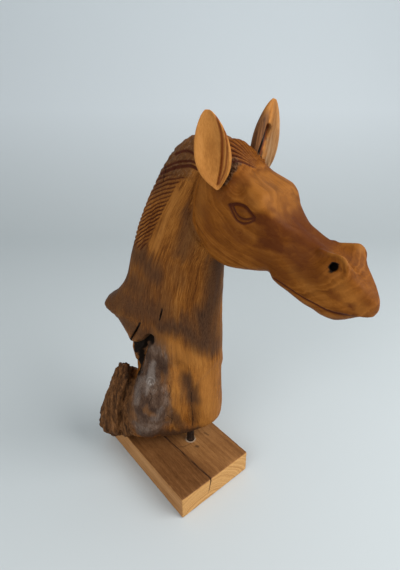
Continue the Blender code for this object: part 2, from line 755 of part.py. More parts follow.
def main():
    for obj in list(bpy.data.objects):
        bpy.data.objects.remove(obj)
    parts = bpy.data.collections.new("driftwood_horse_head")
    cutters = bpy.data.collections.new("driftwood_horse_head_cutters")
    bpy.context.scene.collection.children.link(parts)
    bpy.context.scene.collection.children.link(cutters)

    horse = material("driftwood", (0.33, 0.135, 0.040), 0.48)
    ear_wood = material("ear_wood", (0.47, 0.23, 0.080), 0.50)
    board = material("plank_wood", (0.37, 0.175, 0.065), 0.55)
    steel = material("dark_steel", (0.035, 0.028, 0.024), 0.45, 0.8)

    figure = figure_mesh()
    seat = pushed(figure.copy(), lambda points, normals: np.full(len(points), SEAT_GAP))
    head = add(parts, "horse_head", figure, horse)
    ears = [
        add(parts, "ear_right", ear_mesh(RIGHT_EAR), ear_wood),
        add(parts, "ear_left", ear_mesh(LEFT_EAR), ear_wood),
    ]
    plank = add(parts, "plank", plank_mesh(), board)

    rod_foot = PLANK_THICKNESS - ROD_DEPTH_IN_PLANK
    rod_top = PLANK_THICKNESS + ROD_HEIGHT_OVER_PLANK
    rod = add(parts, "rod", cylinder("rod", ROD_DIAMETER / 2, rod_foot, rod_top), steel)
    room = ROD_DIAMETER / 2 + SEAT_GAP
    bit = cylinder("rod_hole", room, rod_foot - SEAT_GAP, rod_top + SEAT_GAP)
    rod_hole = cutter(cutters, "rod_hole", bit)

    ear_seat = cutter(cutters, "ear_seat", seat)
    for ear in ears:
        cut(ear, ear_seat)
    for side, name in ((-1, "nostril_right"), (1, "nostril_left")):
        cut(head, cutter(cutters, name, nostril_mesh(name, side)))
    cut(head, rod_hole)
    cut(plank, rod_hole)
    cut(plank, cutter(cutters, "plank_split", split_mesh()))

    for obj in (head, *ears):
        smooth_shade(obj, 50)
    for obj in (plank, rod):
        smooth_shade(obj, 30)


main()
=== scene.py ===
"""The finished look of a horse's head carved from driftwood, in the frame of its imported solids.

Metres, +Z up. The origin is the middle of the plank's underside, +X runs along the plank
towards the end that the horse looks over, and +Y is the horse's left.
"""

import math

import bmesh
import bpy
import numpy as np
from mathutils import Matrix, Vector, noise


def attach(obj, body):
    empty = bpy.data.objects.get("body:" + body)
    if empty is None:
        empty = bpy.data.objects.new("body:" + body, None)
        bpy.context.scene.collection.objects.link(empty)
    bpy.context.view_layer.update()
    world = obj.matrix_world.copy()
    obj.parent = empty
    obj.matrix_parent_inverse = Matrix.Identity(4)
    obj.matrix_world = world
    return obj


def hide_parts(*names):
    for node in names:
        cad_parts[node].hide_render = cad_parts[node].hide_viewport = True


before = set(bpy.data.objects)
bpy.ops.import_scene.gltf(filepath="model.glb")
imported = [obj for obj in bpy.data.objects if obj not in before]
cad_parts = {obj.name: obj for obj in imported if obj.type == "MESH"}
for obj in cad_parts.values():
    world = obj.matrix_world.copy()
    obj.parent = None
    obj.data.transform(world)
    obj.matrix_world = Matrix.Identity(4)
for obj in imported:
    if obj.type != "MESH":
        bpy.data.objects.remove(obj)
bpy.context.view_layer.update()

# The photograph's camera: its place in metres, the heading of its right hand, and how far it looks down
CAMERA_PLACE = (0.30884, -0.21708, 0.426)
CAMERA_HEADING = 50.0
CAMERA_DOWN = 26.0
PHOTO_HEIGHT = 570
FOCAL_LENGTH_IN_PIXELS = 400
CENTRE_BELOW_MIDDLE_IN_PIXELS = -1
SENSOR = 36.0

# The studio: a wide soft lamp at the camera's right, a weaker one at its left, and a pale sky
LAMP_HEADING = 30.0
LAMP_HEIGHT_ANGLE = 36.0
LAMP_DISTANCE = 1.5
LAMP_SIZE = 1.2
LAMP_POWER = 20.0
FILL_HEADING = 290.0
FILL_HEIGHT_ANGLE = 30.0
FILL_POWER = 8.5
SKY = (0.84, 0.88, 0.90)
SKY_STRENGTH = 0.48
FLOOR_REACH = 3.0
WALL_DISTANCE = 1.5
WALL_HEIGHT = 2.0
WALL_SWEEP = 0.7

# The plank and its split, in metres
PLANK_LENGTH = 0.160
PLANK_WIDTH = 0.100
PLANK_THICKNESS = 0.030
PLANK_EDGE_ROUND = 0.0015
SPLIT_WIDTH = 0.0014
SPLIT_DEPTH_AT_END = 0.018
SPLIT_DEPTH_INSIDE = 0.003
SPLIT_LENGTH = 0.092
SPLIT_Y_AT_END = -0.008
SPLIT_Y_INSIDE = -0.013
SPLIT_LEAN = -0.004
SPLIT_OVERRUN = 0.004

# The rod, in blind holes with a little room around it
ROD_DIAMETER = 0.009
ROD_X = 0.0195
ROD_Y = 0.0102
ROD_DEPTH_IN_PLANK = 0.018
ROD_HEIGHT_OVER_PLANK = 0.050
SEAT_GAP = 0.0003

# The rod's finer form: its corners and levels, the ease of its ends and the height of its waves
ROD_CORNERS = 48
ROD_LEVELS = 90
ROD_END_EASE = 0.0006
ROD_WEAR = 0.00012

# The carved figure, from the plank's top to the poll between the ears
FIGURE_HEIGHT = 0.360

# The figure's own unit is a 360th of its height, and all that follows is in that unit
UNIT = FIGURE_HEIGHT / 360
FIGURE_VOXEL = 1.0
FIGURE_TRIANGLES = 190000
SEAT_TRIANGLES = 24000
EAR_VOXEL = 0.5

# Where the neck's upright axis stands over the plank
NECK_AXIS = (16.0, 28.0)

# Neck and trunk, one row a level:
# height at the back, rise to the front, back, front, right half, left half, heading in degrees
TRUNK = [
    (5, 13, -84, 4, 19, 18, 49),
    (8, 17, -95, 20, 28, 28, 49),
    (18, 19, -98, 28, 33, 34, 49),
    (36, 19, -96, 29.5, 36, 37, 49),
    (60, 17, -88, 28.5, 38, 39, 48),
    (84, 13, -76, 27.5, 36, 38, 48),
    (108, 6, -74, 27, 33, 36, 47),
    (128, 0, -76, 26, 31, 35, 46),
    (150, 0, -82, 26, 30, 34, 45),
    (170, 0, -93, 25.5, 29, 33, 44),
    (184, 0, -106, 25, 29, 32, 43),
    (196, 0, -92, 25, 28, 31, 42),
    (206, 0, -84, 25, 28, 31, 41),
    (218, 0, -78, 25, 28, 30, 40),
    (240, 0, -73, 25, 27, 29, 37),
    (265, 0, -66, 26, 26, 28, 33),
    (290, 0, -57, 28, 25, 27, 29),
    (318, 0, -43, 33, 24, 26, 24),
    (338, 0, -30, 36, 22, 24, 21),
    (350, 0, -19, 35, 18, 20, 20),
    (358, 0, -7, 30, 12, 13, 20),
    (361, 0, 4, 22, 5, 5, 20),
]

# The rough burl at the foot of the back, in the same columns
BURL = [
    (2.5, 0, -112, -82, 12, 13, 49),
    (7, 0, -122, -71, 19, 23, 49),
    (17, 0, -126.5, -66, 24, 28, 49),
    (30, 0, -124, -64, 26, 32, 49),
    (50, 0, -117, -62, 27, 32, 49),
    (68, 0, -110, -60, 25, 28, 49),
    (81, 0, -105, -66, 21, 20, 49),
    (92, 0, -101, -75, 15, 11, 49),
    (100, 0, -97, -81, 10, 6, 49),
    (105, 0, -93, -84, 5, 3, 49),
]

# The grey swelling on the trunk's right, an egg with its narrow end up: along, left and up
SWELLING_CENTRE = (-54, -16, 75)
SWELLING_RADII = (39, 33, 66)
SWELLING_TAPER = 0.45
SWELLING_TILT = 11.0

# The head's axis starts at the origin, along its heading from the neck's axis, and points down
HEAD_ORIGIN = (30.0, 305.0)
HEAD_HEADING = 12.0
HEAD_PITCH = 27.0

# One row a station from the poll to the lips:
# along, top, shoulder out and up, side out and up, jaw out and up, underside
HEAD = [
    (-28, 44, 10, 41, 15, 32, 11, 20, 15),
    (-20, 49, 17, 44, 24, 28, 20, 4, -4),
    (-11, 48.5, 20, 43.5, 28, 22, 25, -15, -26),
    (2, 44.5, 22, 41.5, 31, 16, 28, -25, -38),
    (18, 40, 25, 38, 33, 12, 29, -34, -47),
    (32, 39.5, 28, 38, 34, 10, 28, -36, -48),
    (42, 39.5, 29, 37.5, 33, 10, 26.5, -34, -46),
    (54, 32, 25, 30, 29.5, 8, 23.5, -28, -38.5),
    (66, 27.5, 20, 26, 25.5, 6, 20.5, -21, -30),
    (75, 26.5, 15, 25, 23.5, 4, 18.5, -16, -24),
    (84, 26, 14, 24.5, 23.5, 3, 20.5, -21, -30),
    (94, 26, 13, 24.5, 23.5, 2, 20.5, -21, -30),
    (104, 26, 15, 25.5, 25, 3, 20.5, -20, -29.5),
    (111, 26, 18, 30, 26.5, 6, 21, -19, -28.5),
    (117, 25.5, 19, 34, 27, 8, 21, -18, -27.5),
    (124, 25, 19, 32, 27, 7.5, 21, -16.5, -26),
    (132, 24.5, 16.5, 26, 26, 5, 21.5, -16, -25.5),
    (142, 22.5, 13.5, 21.5, 22.5, 4, 19, -13.5, -22.5),
    (151, 19, 10, 17, 17, 3, 13.5, -9, -15.5),
    (158, 14, 5.5, 12.5, 10, 3.5, 7.5, -1.5, -6.5),
    (161.5, 9, 2, 8, 4, 5, 3, 3, 2),
]

# Upper lid, lower lid and the fold under it: points along and up the head's side, depth, reach
EYE_LINES = [
    ([(21, 17.3), (27.7, 23), (35, 25.5), (41, 24.2), (45, 22.5)], 1.8, 2.1),
    ([(24.5, 18.5), (29.8, 15.9), (34.3, 15.2), (40, 17), (45, 22)], 1.5, 1.8),
    ([(21, 17.3), (24.9, 15.2), (29, 13.2), (34, 11.4), (39.7, 12.6), (44, 16.9), (46, 20.5)], 1.3, 1.8),
]

# Eyeball, socket and brow: centre along and up, reach along and up, height
EYE_SWELLS = [
    ((34.5, 20.2), (9.5, 4.6), 1.0),
    ((19, 31), (15, 9), -1.8),
    ((45, 31), (14, 9), 1.2),
]

# The line between the lips and the cheek's back edge, as points along and up the head's side
MOUTH = [(80, -18), (94, -15.5), (105, -13), (118, -9.8), (128, -7), (138, -4), (147, -1), (166, 3)]
MOUTH_DEPTH = 2.5
MOUTH_REACH = 2.2
LOWER_LIP_BACK = 1.9
CHEEK_EDGE = [(-24, 28), (-22, 6), (-17, -12), (-13, -24), (-4, -35), (8, -43)]
CHEEK_EDGE_DEPTH = 1.6
CHEEK_EDGE_REACH = 4

# The raised rim over each nostril and the furrow inside it: points along, up and out, height, reach
NOSTRIL_LINES = [
    ([(100, 27, 15), (106, 30.5, 15), (112, 34, 17.5), (119, 35, 20.5), (129, 27, 24)], 2.8, 5.5),
    ([(106, 28, 18), (111.5, 32, 19), (118.5, 32.5, 21.5), (123.5, 28.5, 23)], -2.3, 3.6),
]

# Each nostril's hole, whose bit points this way along, up and out, and the dish around it
NOSTRIL_CENTRE = (116.5, 27, 23)
NOSTRIL_DIAMETER = 7.5
NOSTRIL_END_DIAMETER = 6.0
NOSTRIL_DEPTH = 13
NOSTRIL_WAY = (-0.15, -0.42, -0.80)
NOSTRIL_CLEARANCE = 6
NOSTRIL_DISH_DEPTH = 1.8
NOSTRIL_DISH_REACH = 10

# The forelock's locks fan out from a point on the forehead, to this angle on both sides
FORELOCK_POINT = (18, 6)
FORELOCK_LENGTH = 42
FORELOCK_SPREAD = 1.08
FORELOCK_STRANDS = 13
FORELOCK_HEIGHT = 1.7
FORELOCK_GROOVE_DEPTH = 2.6

# The mane's inner edge and crest on the neck's side, as points along and up, and its grooves,
# which slant by the level and drop towards the neck's sides
MANE_EDGE = [(-56, 246), (-44, 263), (-35, 279), (-26, 294), (-14.5, 312), (-6, 322), (14, 333)]
MANE_CREST = [(-66, 256), (-51, 285), (-42, 303), (-34, 316), (-20, 336), (-6, 353)]
MANE_SLANT = [(262, 0.80), (286, 0.72), (300, 0.54), (325, 0.22), (345, 0.0)]
MANE_DROP = 0.49
MANE_WAVE = 1.9
MANE_GROOVE_PITCH = 5.3
MANE_GROOVE_DEPTH = 2.2
MANE_TOP = 330
MANE_RIM_OFFSET = 2.5
MANE_RIM_HEIGHT = 0.9
MANE_RIM_REACH = 3.5

# Bold cuts across the crown: path along and up, depth, reach
CROWN_LINES = [
    ([(-34, 324), (-18, 330.6), (-8, 333.7), (2.5, 335.1), (10, 333.2)], 2.0, 2.2),
    ([(-30, 329.5), (-17, 335), (-7, 338), (4, 339), (12, 336.5)], 1.4, 1.8),
    ([(-16, 343), (-4, 347), (8, 345)], 1.4, 1.9),
]

# Hollows and creases of the trunk's right side: path along and up, depth, reach
TRUNK_CUTS = [
    ([(-51, 156), (-57, 148), (-62, 138), (-65, 127), (-67, 117)], 12, 7),
    ([(-60, 146), (-66, 141), (-72, 138)], 8, 8),
    ([(-71, 113), (-75, 100), (-86, 74), (-92, 58), (-95, 26), (-97, 8)], 5, 5),
    ([(-21, 122), (-16, 106), (-9.5, 89), (-9, 60), (-10, 42)], 4, 12),
]

# Drying cracks in the same place: both ends, depth, half the width
TRUNK_CRACKS = [
    ((-60, 174), (-77, 143), 6, 1.7),
    ((-35, 192), (-38.5, 180), 3, 1.2),
]

# Slow waves of the worn wood and the burl's rough growth: size of the lumps along each axis, height
WORN_WAVES = ((24, 24, 60), 0.9)
BURL_LUMPS = ((9, 9, 22), 2.6)
BURL_GRAINS = ((4, 4, 8), 1.2)

# The burl lies behind this place along the neck and below this level
BURL_FRONT = -72
BURL_TOP = 118

# The finer relief in the same form as the waves, the plank's in metres of height
GRAIN_RIDGES = ((2.6, 6, 45), 0.36)
GRAIN_FINE_RIDGES = ((1.4, 4, 24), 0.26)
HEAD_WAVES = ((5, 5, 5), 0.15)
BARK_RIDGES = ((3.4, 3.4, 17), 1.5)
BARK_GRAINS = ((1.9, 1.9, 3.5), 0.6)
SWELLING_DENTS = ((4, 4, 4), 0.45)
SEAT_CRUMBS = ((2.0, 2.0, 2.0), 1.0)
CROWN_LUMPS = ((4.2, 4.2, 3.2), 1.3)
EAR_GRAIN = ((1.4, 2, 16), 0.10)
EAR_WAVES = ((5, 5, 12), 0.12)
SAWN_RIDGES = ((1.6, 1.6, 60), 0.00010)
SAWN_WAVES = ((5, 5, 90), 0.00007)

# An ear's leaf: where along its length it is widest and deepest, by a power, how blunt its ends are
# in width and depth, and how much more pointed its foot is
EAR_WIDEST = 0.86
EAR_DEEPEST = 0.80
EAR_WIDTH_BLUNT = 0.62
EAR_DEPTH_BLUNT = 0.7
EAR_FOOT_POINT = 0.5

# Each ear: foot and tip in the head's plan, along, height and left; half width, depth; heading it
# opens to; how far its middle bends away; its section's outline, across and towards its opening;
# and its grooves, as a path across and up from the foot, depth, reach
RIGHT_EAR = dict(
    foot=(49, 322, -38.5),
    tip=(44, 383.5, -48),
    half_width=14.3,
    depth=14,
    opening=-42,
    bend=1.5,
    section=[
        (-1.0, 0.0), (-0.5, -0.14), (0.0, -0.22), (0.44, -0.26), (0.66, -0.10), (0.84, 0.08),
        (1.0, -0.15), (0.80, -0.62), (0.2, -0.98), (-0.45, -0.78), (-0.88, -0.32),
    ],
    grooves=[
        ([(0.8, 5), (4.8, 16), (7.6, 30), (8.4, 43), (6.4, 56)], 1.9, 1.9),
        ([(1.8, 5), (7.4, 14), (10.2, 24), (11.6, 34), (11.4, 47)], 1.6, 1.7),
    ],
)
LEFT_EAR = dict(
    foot=(48, 320, 27),
    tip=(48.5, 389.5, 46),
    half_width=14,
    depth=15,
    opening=-14,
    bend=-2.0,
    section=[
        (-0.95, -0.1), (-0.6, 0.10), (-0.2, -0.06), (0.0, -0.2), (0.25, -0.1), (0.6, 0.08),
        (0.95, -0.1), (0.8, -0.6), (0.0, -1.0), (-0.8, -0.6),
    ],
    grooves=[
        ([(-6.5, 18), (-6, 24), (-3.5, 36), (-1, 47)], 5, 3.8),
    ],
)

# How far the neck's grain leans forwards, as level and lean
GRAIN_LEAN = [(0, 0), (60, -2), (110, 3), (150, 2), (200, 8), (240, 17), (290, 38), (338, 68), (361, 88)]

# The rings of the head's wood: along, up and out of their heart, how they stretch,
# and the curl over each eye as its centre, reach and height
RING_HEART = (40, 20, -6)
RING_STRETCH = (1.8, 1.0, 1.6)
RING_CURL = ((18, 31, 27), (14, 10, 14), 8.0)

# Soft strokes of colour on the neck's sides: path along and up, strength, reach
# Dark strokes, partly stains and partly painted shade in the neck's hollows and valleys
STAINS_AND_SHADE = [
    ([(-68, 246), (-52, 240), (-42, 226)], 0.85, 26),
    ([(-44, 236), (-36, 216), (-32, 196)], 0.48, 19),
    ([(-96, 192), (-62, 192), (-40, 186)], 0.85, 36),
    ([(-76, 216), (-58, 210)], 0.78, 30),
    ([(-80, 168), (-62, 162), (-46, 158)], 0.85, 24),
    ([(-74, 258), (-76, 236)], 0.7, 14),
    ([(-31, 66), (-24, 44), (-20, 30)], 0.8, 12),
    ([(-33, 214), (-29, 192), (-37, 177)], 0.48, 16),
    ([(-1, 292), (-1, 277), (-5, 268), (-11, 254)], 0.68, 17),
    ([(-20, 236), (-16, 222)], 0.35, 18),
    ([(21, 240), (18, 206), (13.5, 188), (13, 172), (15, 158), (18, 142)], 0.95, 18),
    ([(7, 184), (9, 166), (8, 152)], 1.05, 21),
    ([(-36, 176), (-22, 171.5), (-11, 168), (0, 158), (9, 148)], 0.98, 22),
    ([(-13, 180), (0, 168)], 0.8, 20),
    ([(-14, 108), (-11, 98), (-9, 88), (-7, 78)], 0.95, 16),
    ([(-7, 84), (-6, 44)], 0.6, 11),
    ([(-66, 32), (-40, 25), (-22, 26), (-5, 25)], 1.05, 18),
    ([(-68, 158), (-56, 152), (-50, 150)], 0.7, 15),
    ([(-36, 318), (-12, 340), (14, 352)], 0.62, 26),
]
# Paler strokes, partly paler wood and partly painted highlight along the neck's front edge
PALE_AND_HIGHLIT_NECK_STROKES = [
    ([(-43, 158), (-29, 148), (-12, 136), (4, 127)], 0.85, 16),
    ([(-21, 132), (-24, 100), (-27, 60)], 0.5, 14),
    ([(10, 112), (12, 60), (12, 30)], 0.8, 24),
    ([(27, 226), (28, 110)], 0.5, 7),
    ([(-10, 310), (-25, 284), (-39, 258)], 0.8, 6),
]
GREY_STROKES = [
    ([(-50, 132), (-55, 104), (-54, 80), (-58, 50)], 1.0, 34),
    ([(-42, 84), (-40, 56)], 0.8, 22),
    ([(-70, 104), (-72, 50)], 0.75, 24),
]
# Painted highlights on the swelling's polished grey skin, in the same form
PAINTED_HIGHLIGHT_STROKES = [
    ([(-50, 124), (-53, 109), (-57, 92)], 1.0, 9),
    ([(-62, 108), (-68, 92), (-71, 76)], 0.7, 8),
    ([(-44, 72), (-50, 58)], 0.6, 8),
]
TAN_STROKES = [
    ([(-78, 92), (-80, 70), (-74, 54)], 0.8, 11),
    ([(-60, 76), (-52, 66)], 0.65, 8),
    ([(-34, 70), (-36, 54)], 0.6, 8),
]

# Soft strokes of colour on the head's sides: path along and up, strength, reach
BLOTCHES = [
    ([(50, 25), (57, 20), (64, 17), (70, 14)], 0.85, 12),
    ([(60, 7), (66, 11), (73, 10)], 0.95, 11),
    ([(62, 26), (72, 24), (84, 24), (98, 27)], 0.70, 13),
    ([(80, 13), (96, 10)], 0.65, 16),
    ([(96, 8), (110, 12)], 0.5, 12),
    ([(66, -6), (90, -12)], 0.45, 15),
    ([(126, 9), (134, 11)], 0.5, 4),
    ([(141, 9), (145, 7)], 0.55, 3.5),
    ([(136, -1), (150, 1)], 0.4, 4),
    ([(144, 23), (151, 13)], 0.35, 6),
    ([(10, 33), (16, 37), (24, 34)], 0.5, 6),
    ([(22, 30), (36, 33)], 0.35, 5),
    ([(28, 4), (46, 0)], 0.45, 11),
    ([(2, 0), (14, -14)], 0.3, 10),
]
# Paler strokes, partly paler wood and partly painted highlight along the nostrils' rims
PALE_AND_HIGHLIT_HEAD_STROKES = [
    ([(22, 41), (46, 39)], 0.5, 13),
    ([(66, 14), (68, 11)], 1.0, 1.8),
    ([(106, 31), (113, 35), (121, 35)], 0.9, 4),
    ([(128, 18), (152, 8)], 0.55, 8),
    ([(46, 37), (62, 30)], 0.5, 6),
    ([(-10, 12), (-2, -10)], 0.4, 14),
    ([(92, 2), (116, 2)], 0.4, 7),
]

# The bark in front of each ear's foot, in the same form
CRUST_STROKES = [
    ([(1, 44), (5, 40.5), (7, 35), (6, 28)], 1.0, 4.5),
]

# Small knots of the head: centre along and up, reach
KNOTS = [
    ((66, 13), 5.0),
    ((133, 11), 3.0),
    ((143, 8), 2.6),
    ((150, 3), 3.0),
    ((85, -10), 4.0),
    ((40, 4), 4.0),
]

# The painted shade deep inside the trunk's hollow, in the same form as the stains
HOLLOW_SHADE_STROKES = [
    ([(-72, 139), (-62, 144), (-50, 152)], 1.6, 5),
    ([(-70, 134), (-60, 140)], 1.6, 6),
    ([(-64, 130), (-66, 118), (-68, 112)], 1.6, 5),
]

# Fine cracks on the neck's right side, as paths along and up
HAIR_CRACKS = [
    [(-32, 101), (-30.5, 94), (-33, 88), (-31, 82)],
    [(-53, 94), (-51.5, 88), (-55, 82), (-54, 76)],
    [(-8, 88), (-8.5, 70), (-7, 52), (-8, 36)],
    [(-36, 60), (-31, 52), (-33, 44)],
    [(-30, 338), (-27, 328), (-28, 318)],
]
HAIR_CRACK_REACH = 0.9
HAIR_CRACK_DEPTH = 0.6

# Ripples in the swelling's skin: their centre on the neck's side, radians a unit, reach, height
RIPPLE_CENTRE = (-52, 104)
RIPPLE_RATE = 2.7
RIPPLE_REACH = 10
RIPPLE_HEIGHT = 0.16

# The rough wood around the ears' feet, and the painted shade in the left ear's slit
EAR_SEAT_HEIGHT = 24
EAR_SEAT_REACH = 19
EAR_SLIT_REACH = 2.4

# The plank's finer form: its voxel in metres, how far its split wanders, and in mm the heart of its
# rings across and up, where its half of stain and painted shade ends and its lighter one starts, and its
# knots, stains and painted shade under the figure as paths along and across, strength, reach
PLANK_VOXEL = 0.0009
SPLIT_WANDER = 0.0012
PLANK_HEART = (-22, -34)
STAINED_AND_SHADED_HALF_EDGE = (-14, 8)
PLANK_STAINS_AND_SHADE = [
    ([(33, 8), (35, 9)], 0.95, 3.0),
    ([(24, 30), (29, 31)], 0.8, 2.2),
    ([(26, 6), (24, -4), (20, -10)], 0.7, 1.1),
]

# How deep the plank's edges are worn and how far in, in metres
PLANK_WEAR = 0.0005
PLANK_WEAR_REACH = 0.0035


def direction(degrees):
    """Unit vector on the ground at that heading, and the one to its left."""
    angle = math.radians(degrees)
    return np.array([math.cos(angle), math.sin(angle)]), np.array([-math.sin(angle), math.cos(angle)])


def between_rows(rows, step):
    """The table's rows with more rows between them, on smooth curves through every column."""
    rows = np.array(rows, float)
    slopes = np.gradient(rows, axis=0)
    finer = []
    for i in range(len(rows) - 1):
        parts = max(1, math.ceil(abs(rows[i + 1, 0] - rows[i, 0]) / step))
        for t in np.arange(parts) / parts:
            start, leave = 2 * t**3 - 3 * t**2 + 1, t**3 - 2 * t**2 + t
            end, arrive = -2 * t**3 + 3 * t**2, t**3 - t**2
            finer.append(start * rows[i] + leave * slopes[i] + end * rows[i + 1] + arrive * slopes[i + 1])
    finer.append(rows[-1])
    return np.array(finer)


def smooth_point(p0, p1, p2, p3, t):
    """A point of the smooth curve from p1 to p2."""
    return 0.5 * (
        2 * p1 + (p2 - p0) * t + (2 * p0 - 5 * p1 + 4 * p2 - p3) * t**2 + (3 * p1 - p0 - 3 * p2 + p3) * t**3
    )


def closed_curve(points, parts):
    """Points on a smooth closed curve through the given ones."""
    points = np.array(points, float)
    corners = [[points[(i + k) % len(points)] for k in (-1, 0, 1, 2)] for i in range(len(points))]
    return [smooth_point(*four, t) for four in corners for t in np.arange(parts) / parts]


def open_curve(points, parts=4):
    """Points on a smooth curve from the first of the given ones to the last."""
    points = np.array(points, float)
    padded = [2 * points[0] - points[1], *points, 2 * points[-1] - points[-2]]
    fours = [padded[i : i + 4] for i in range(len(points) - 1)]
    curve = [smooth_point(*four, t) for four in fours for t in np.arange(parts) / parts]
    return np.array([*curve, points[-1]])


def upright_ring(row, corners=64):
    """One level of the neck: an oval that is blunter than an ellipse, tilted up to its front."""
    height, rise, back, front, right, left, heading = row
    ahead, aside = direction(heading)
    middle, half = (front + back) / 2, (front - back) / 2
    ring = []
    for k in range(corners):
        turn = 2 * math.pi * k / corners
        c, s = math.cos(turn), math.sin(turn)
        along = middle + half * math.copysign(abs(c) ** 0.85, c)
        out = (left if s > 0 else right) * math.copysign(abs(s) ** 0.85, s)
        flat = np.array(NECK_AXIS) + ahead * along + aside * out
        ring.append((flat[0], flat[1], height + rise * (along - back) / (front - back)))
    return ring


def head_axes():
    """Origin of the head, and its directions along, up and left as the rows of a matrix."""
    ahead, aside = direction(HEAD_HEADING)
    flat = np.array(NECK_AXIS) + ahead * HEAD_ORIGIN[0]
    pitch = math.radians(HEAD_PITCH)
    along = [*(ahead * math.cos(pitch)), -math.sin(pitch)]
    up = [*(ahead * math.sin(pitch)), math.cos(pitch)]
    return np.array([*flat, HEAD_ORIGIN[1]]), np.array([along, up, [*aside, 0.0]])


def head_ring(row):
    """One station of the head, across its axis."""
    along, top, shoulder_out, shoulder_up, side_out, side_up, jaw_out, jaw_up, under = row
    half = [(shoulder_out, shoulder_up), (side_out, side_up), (jaw_out, jaw_up)]
    outline = [(0, top), *half, (0, under), *[(-out, up) for out, up in reversed(half)]]
    origin, axes = head_axes()
    return [origin + axes[0] * along + axes[1] * up + axes[2] * out for out, up in closed_curve(outline, 8)]


def loft(bm, rings):
    """Skins the rings into a closed body and adds it to bm."""
    rows = [[bm.verts.new(Vector(p)) for p in ring] for ring in rings]
    count = len(rows[0])
    for lower, upper in zip(rows, rows[1:]):
        for k in range(count):
            bm.faces.new((lower[k], lower[(k + 1) % count], upper[(k + 1) % count], upper[k]))
    bm.faces.new(list(reversed(rows[0])))
    bm.faces.new(rows[-1])


def swelling(bm):
    """The rounded grey lump: a stretched sphere, narrower to its top, leaning on the trunk's axes."""
    heading = TRUNK[0][-1]
    ahead, aside = direction(heading)
    along, left, height = SWELLING_CENTRE
    flat = np.array(NECK_AXIS) + ahead * along + aside * left
    place = Matrix.Translation((*flat, height)) @ Matrix.Rotation(math.radians(heading), 4, "Z")
    place = place @ Matrix.Rotation(math.radians(SWELLING_TILT), 4, "Y")
    place = place @ Matrix.Diagonal((*SWELLING_RADII, 1))
    verts = bmesh.ops.create_uvsphere(bm, u_segments=32, v_segments=20, radius=1)["verts"]
    for vert in verts:
        vert.co.xy *= 1 - SWELLING_TAPER * (vert.co.z + 1) / 2
    bmesh.ops.transform(bm, matrix=place, verts=verts)


def mesh_from(bm, name):
    """A mesh of bm with its faces pointing out. bm is freed."""
    bmesh.ops.recalc_face_normals(bm, faces=bm.faces)
    mesh = bpy.data.meshes.new(name)
    bm.to_mesh(mesh)
    bm.free()
    return mesh


def with_modifiers(mesh, *settings):
    """A new mesh: the old one with modifiers applied, each given as its type and its values."""
    obj = bpy.data.objects.new(mesh.name, mesh)
    bpy.context.scene.collection.objects.link(obj)
    for kind, values in settings:
        modifier = obj.modifiers.new(kind.title(), kind)
        for key, value in values.items():
            setattr(modifier, key, value)
    graph = bpy.context.evaluated_depsgraph_get()
    result = bpy.data.meshes.new_from_object(obj.evaluated_get(graph))
    bpy.data.objects.remove(obj)
    return result


def one_skin(mesh, voxel, rounds):
    """Overlapping bodies run together into one even skin, softened over some rounds."""
    return with_modifiers(
        mesh,
        ("REMESH", dict(mode="VOXEL", voxel_size=voxel)),
        ("SMOOTH", dict(factor=0.5, iterations=rounds)),
    )


def rough_figure(voxel):
    """Trunk, burl, swelling and head in one skin, before the carving."""
    bm = bmesh.new()
    loft(bm, [upright_ring(row) for row in between_rows(TRUNK, 4)])
    loft(bm, [upright_ring(row) for row in between_rows(BURL, 4)])
    loft(bm, [head_ring(row) for row in between_rows(HEAD, 3)])
    swelling(bm)
    return one_skin(mesh_from(bm, "rough"), voxel, 14)


def smooth_step(value, low, high):
    """0 below low, 1 above high, and a smooth rise between."""
    t = np.clip((value - low) / (high - low), 0, 1)
    return t * t * (3 - 2 * t)


def bump(distance, reach):
    """1 at no distance, fading smoothly to 0 at the reach."""
    t = np.clip(distance / reach, 0, 1)
    return (1 - t * t) ** 2


def distance_to(points, path):
    """How far each point is from a path."""
    nearest = np.full(len(points), np.inf)
    for start, end in zip(path, path[1:]):
        leg = end - start
        share = np.clip((points - start) @ leg / (leg @ leg), 0, 1)
        gap = np.linalg.norm(points - start - share[:, None] * leg, axis=1)
        nearest = np.minimum(nearest, gap)
    return nearest


def ragged(points, sizes, seed):
    """Noise from -1 to 1 whose lumps have these sizes along the three axes."""
    shift = Vector((seed * 7.3, seed * 3.1, seed * 5.7))
    return np.array([noise.noise(Vector(p) + shift) for p in points / np.array(sizes)])


def relief_of(points, form, seed):
    """Ragged relief of a form, which is the size of its lumps along each axis and their height."""
    sizes, height = form
    return height * ragged(points, sizes, seed)


class Skin:
    """A figure's points in row units, in the head's coordinates and in the neck's."""

    def __init__(self, points):
        self.points = points
        origin, axes = head_axes()
        self.along, self.up, self.out = ((points - origin) @ axes.T).T
        table = np.array(TRUNK, float)
        headings = np.radians(np.interp(points[:, 2], table[:, 0] + table[:, 1] / 2, table[:, -1]))
        flat = points[:, :2] - np.array(NECK_AXIS)
        self.neck_along = flat[:, 0] * np.cos(headings) + flat[:, 1] * np.sin(headings)
        self.neck_left = flat[:, 1] * np.cos(headings) - flat[:, 0] * np.sin(headings)
        self.height = points[:, 2]

    def side_of_head(self):
        return np.stack([self.along, self.up], axis=1)

    def both_sides_of_head(self):
        return np.stack([self.along, self.up, abs(self.out)], axis=1)

    def side_of_neck(self):
        return np.stack([self.neck_along, self.height], axis=1)


def deepest_of(place, lines):
    """How deep the deepest of the lines is at each place. Each is a path, a depth and a reach."""
    deepest = np.zeros(len(place))
    for path, depth, reach in lines:
        deepest = np.maximum(deepest, depth * bump(distance_to(place, open_curve(path)), reach))
    return deepest


def lids(skin):
    """How deep the lids' lines are, on the head's sides alone."""
    return smooth_step(abs(skin.out), 20, 24) * deepest_of(skin.side_of_head(), EYE_LINES)


def eyes(skin):
    """A rounded ball between two lids, with a fold under the lower one, and the bone around it."""
    place = skin.side_of_head()
    swells = 0
    for centre, reach, height in EYE_SWELLS:
        swells = swells + height * bump(np.linalg.norm((place - centre) / reach, axis=1), 1)
    return smooth_step(abs(skin.out), 12, 24) * swells - lids(skin)


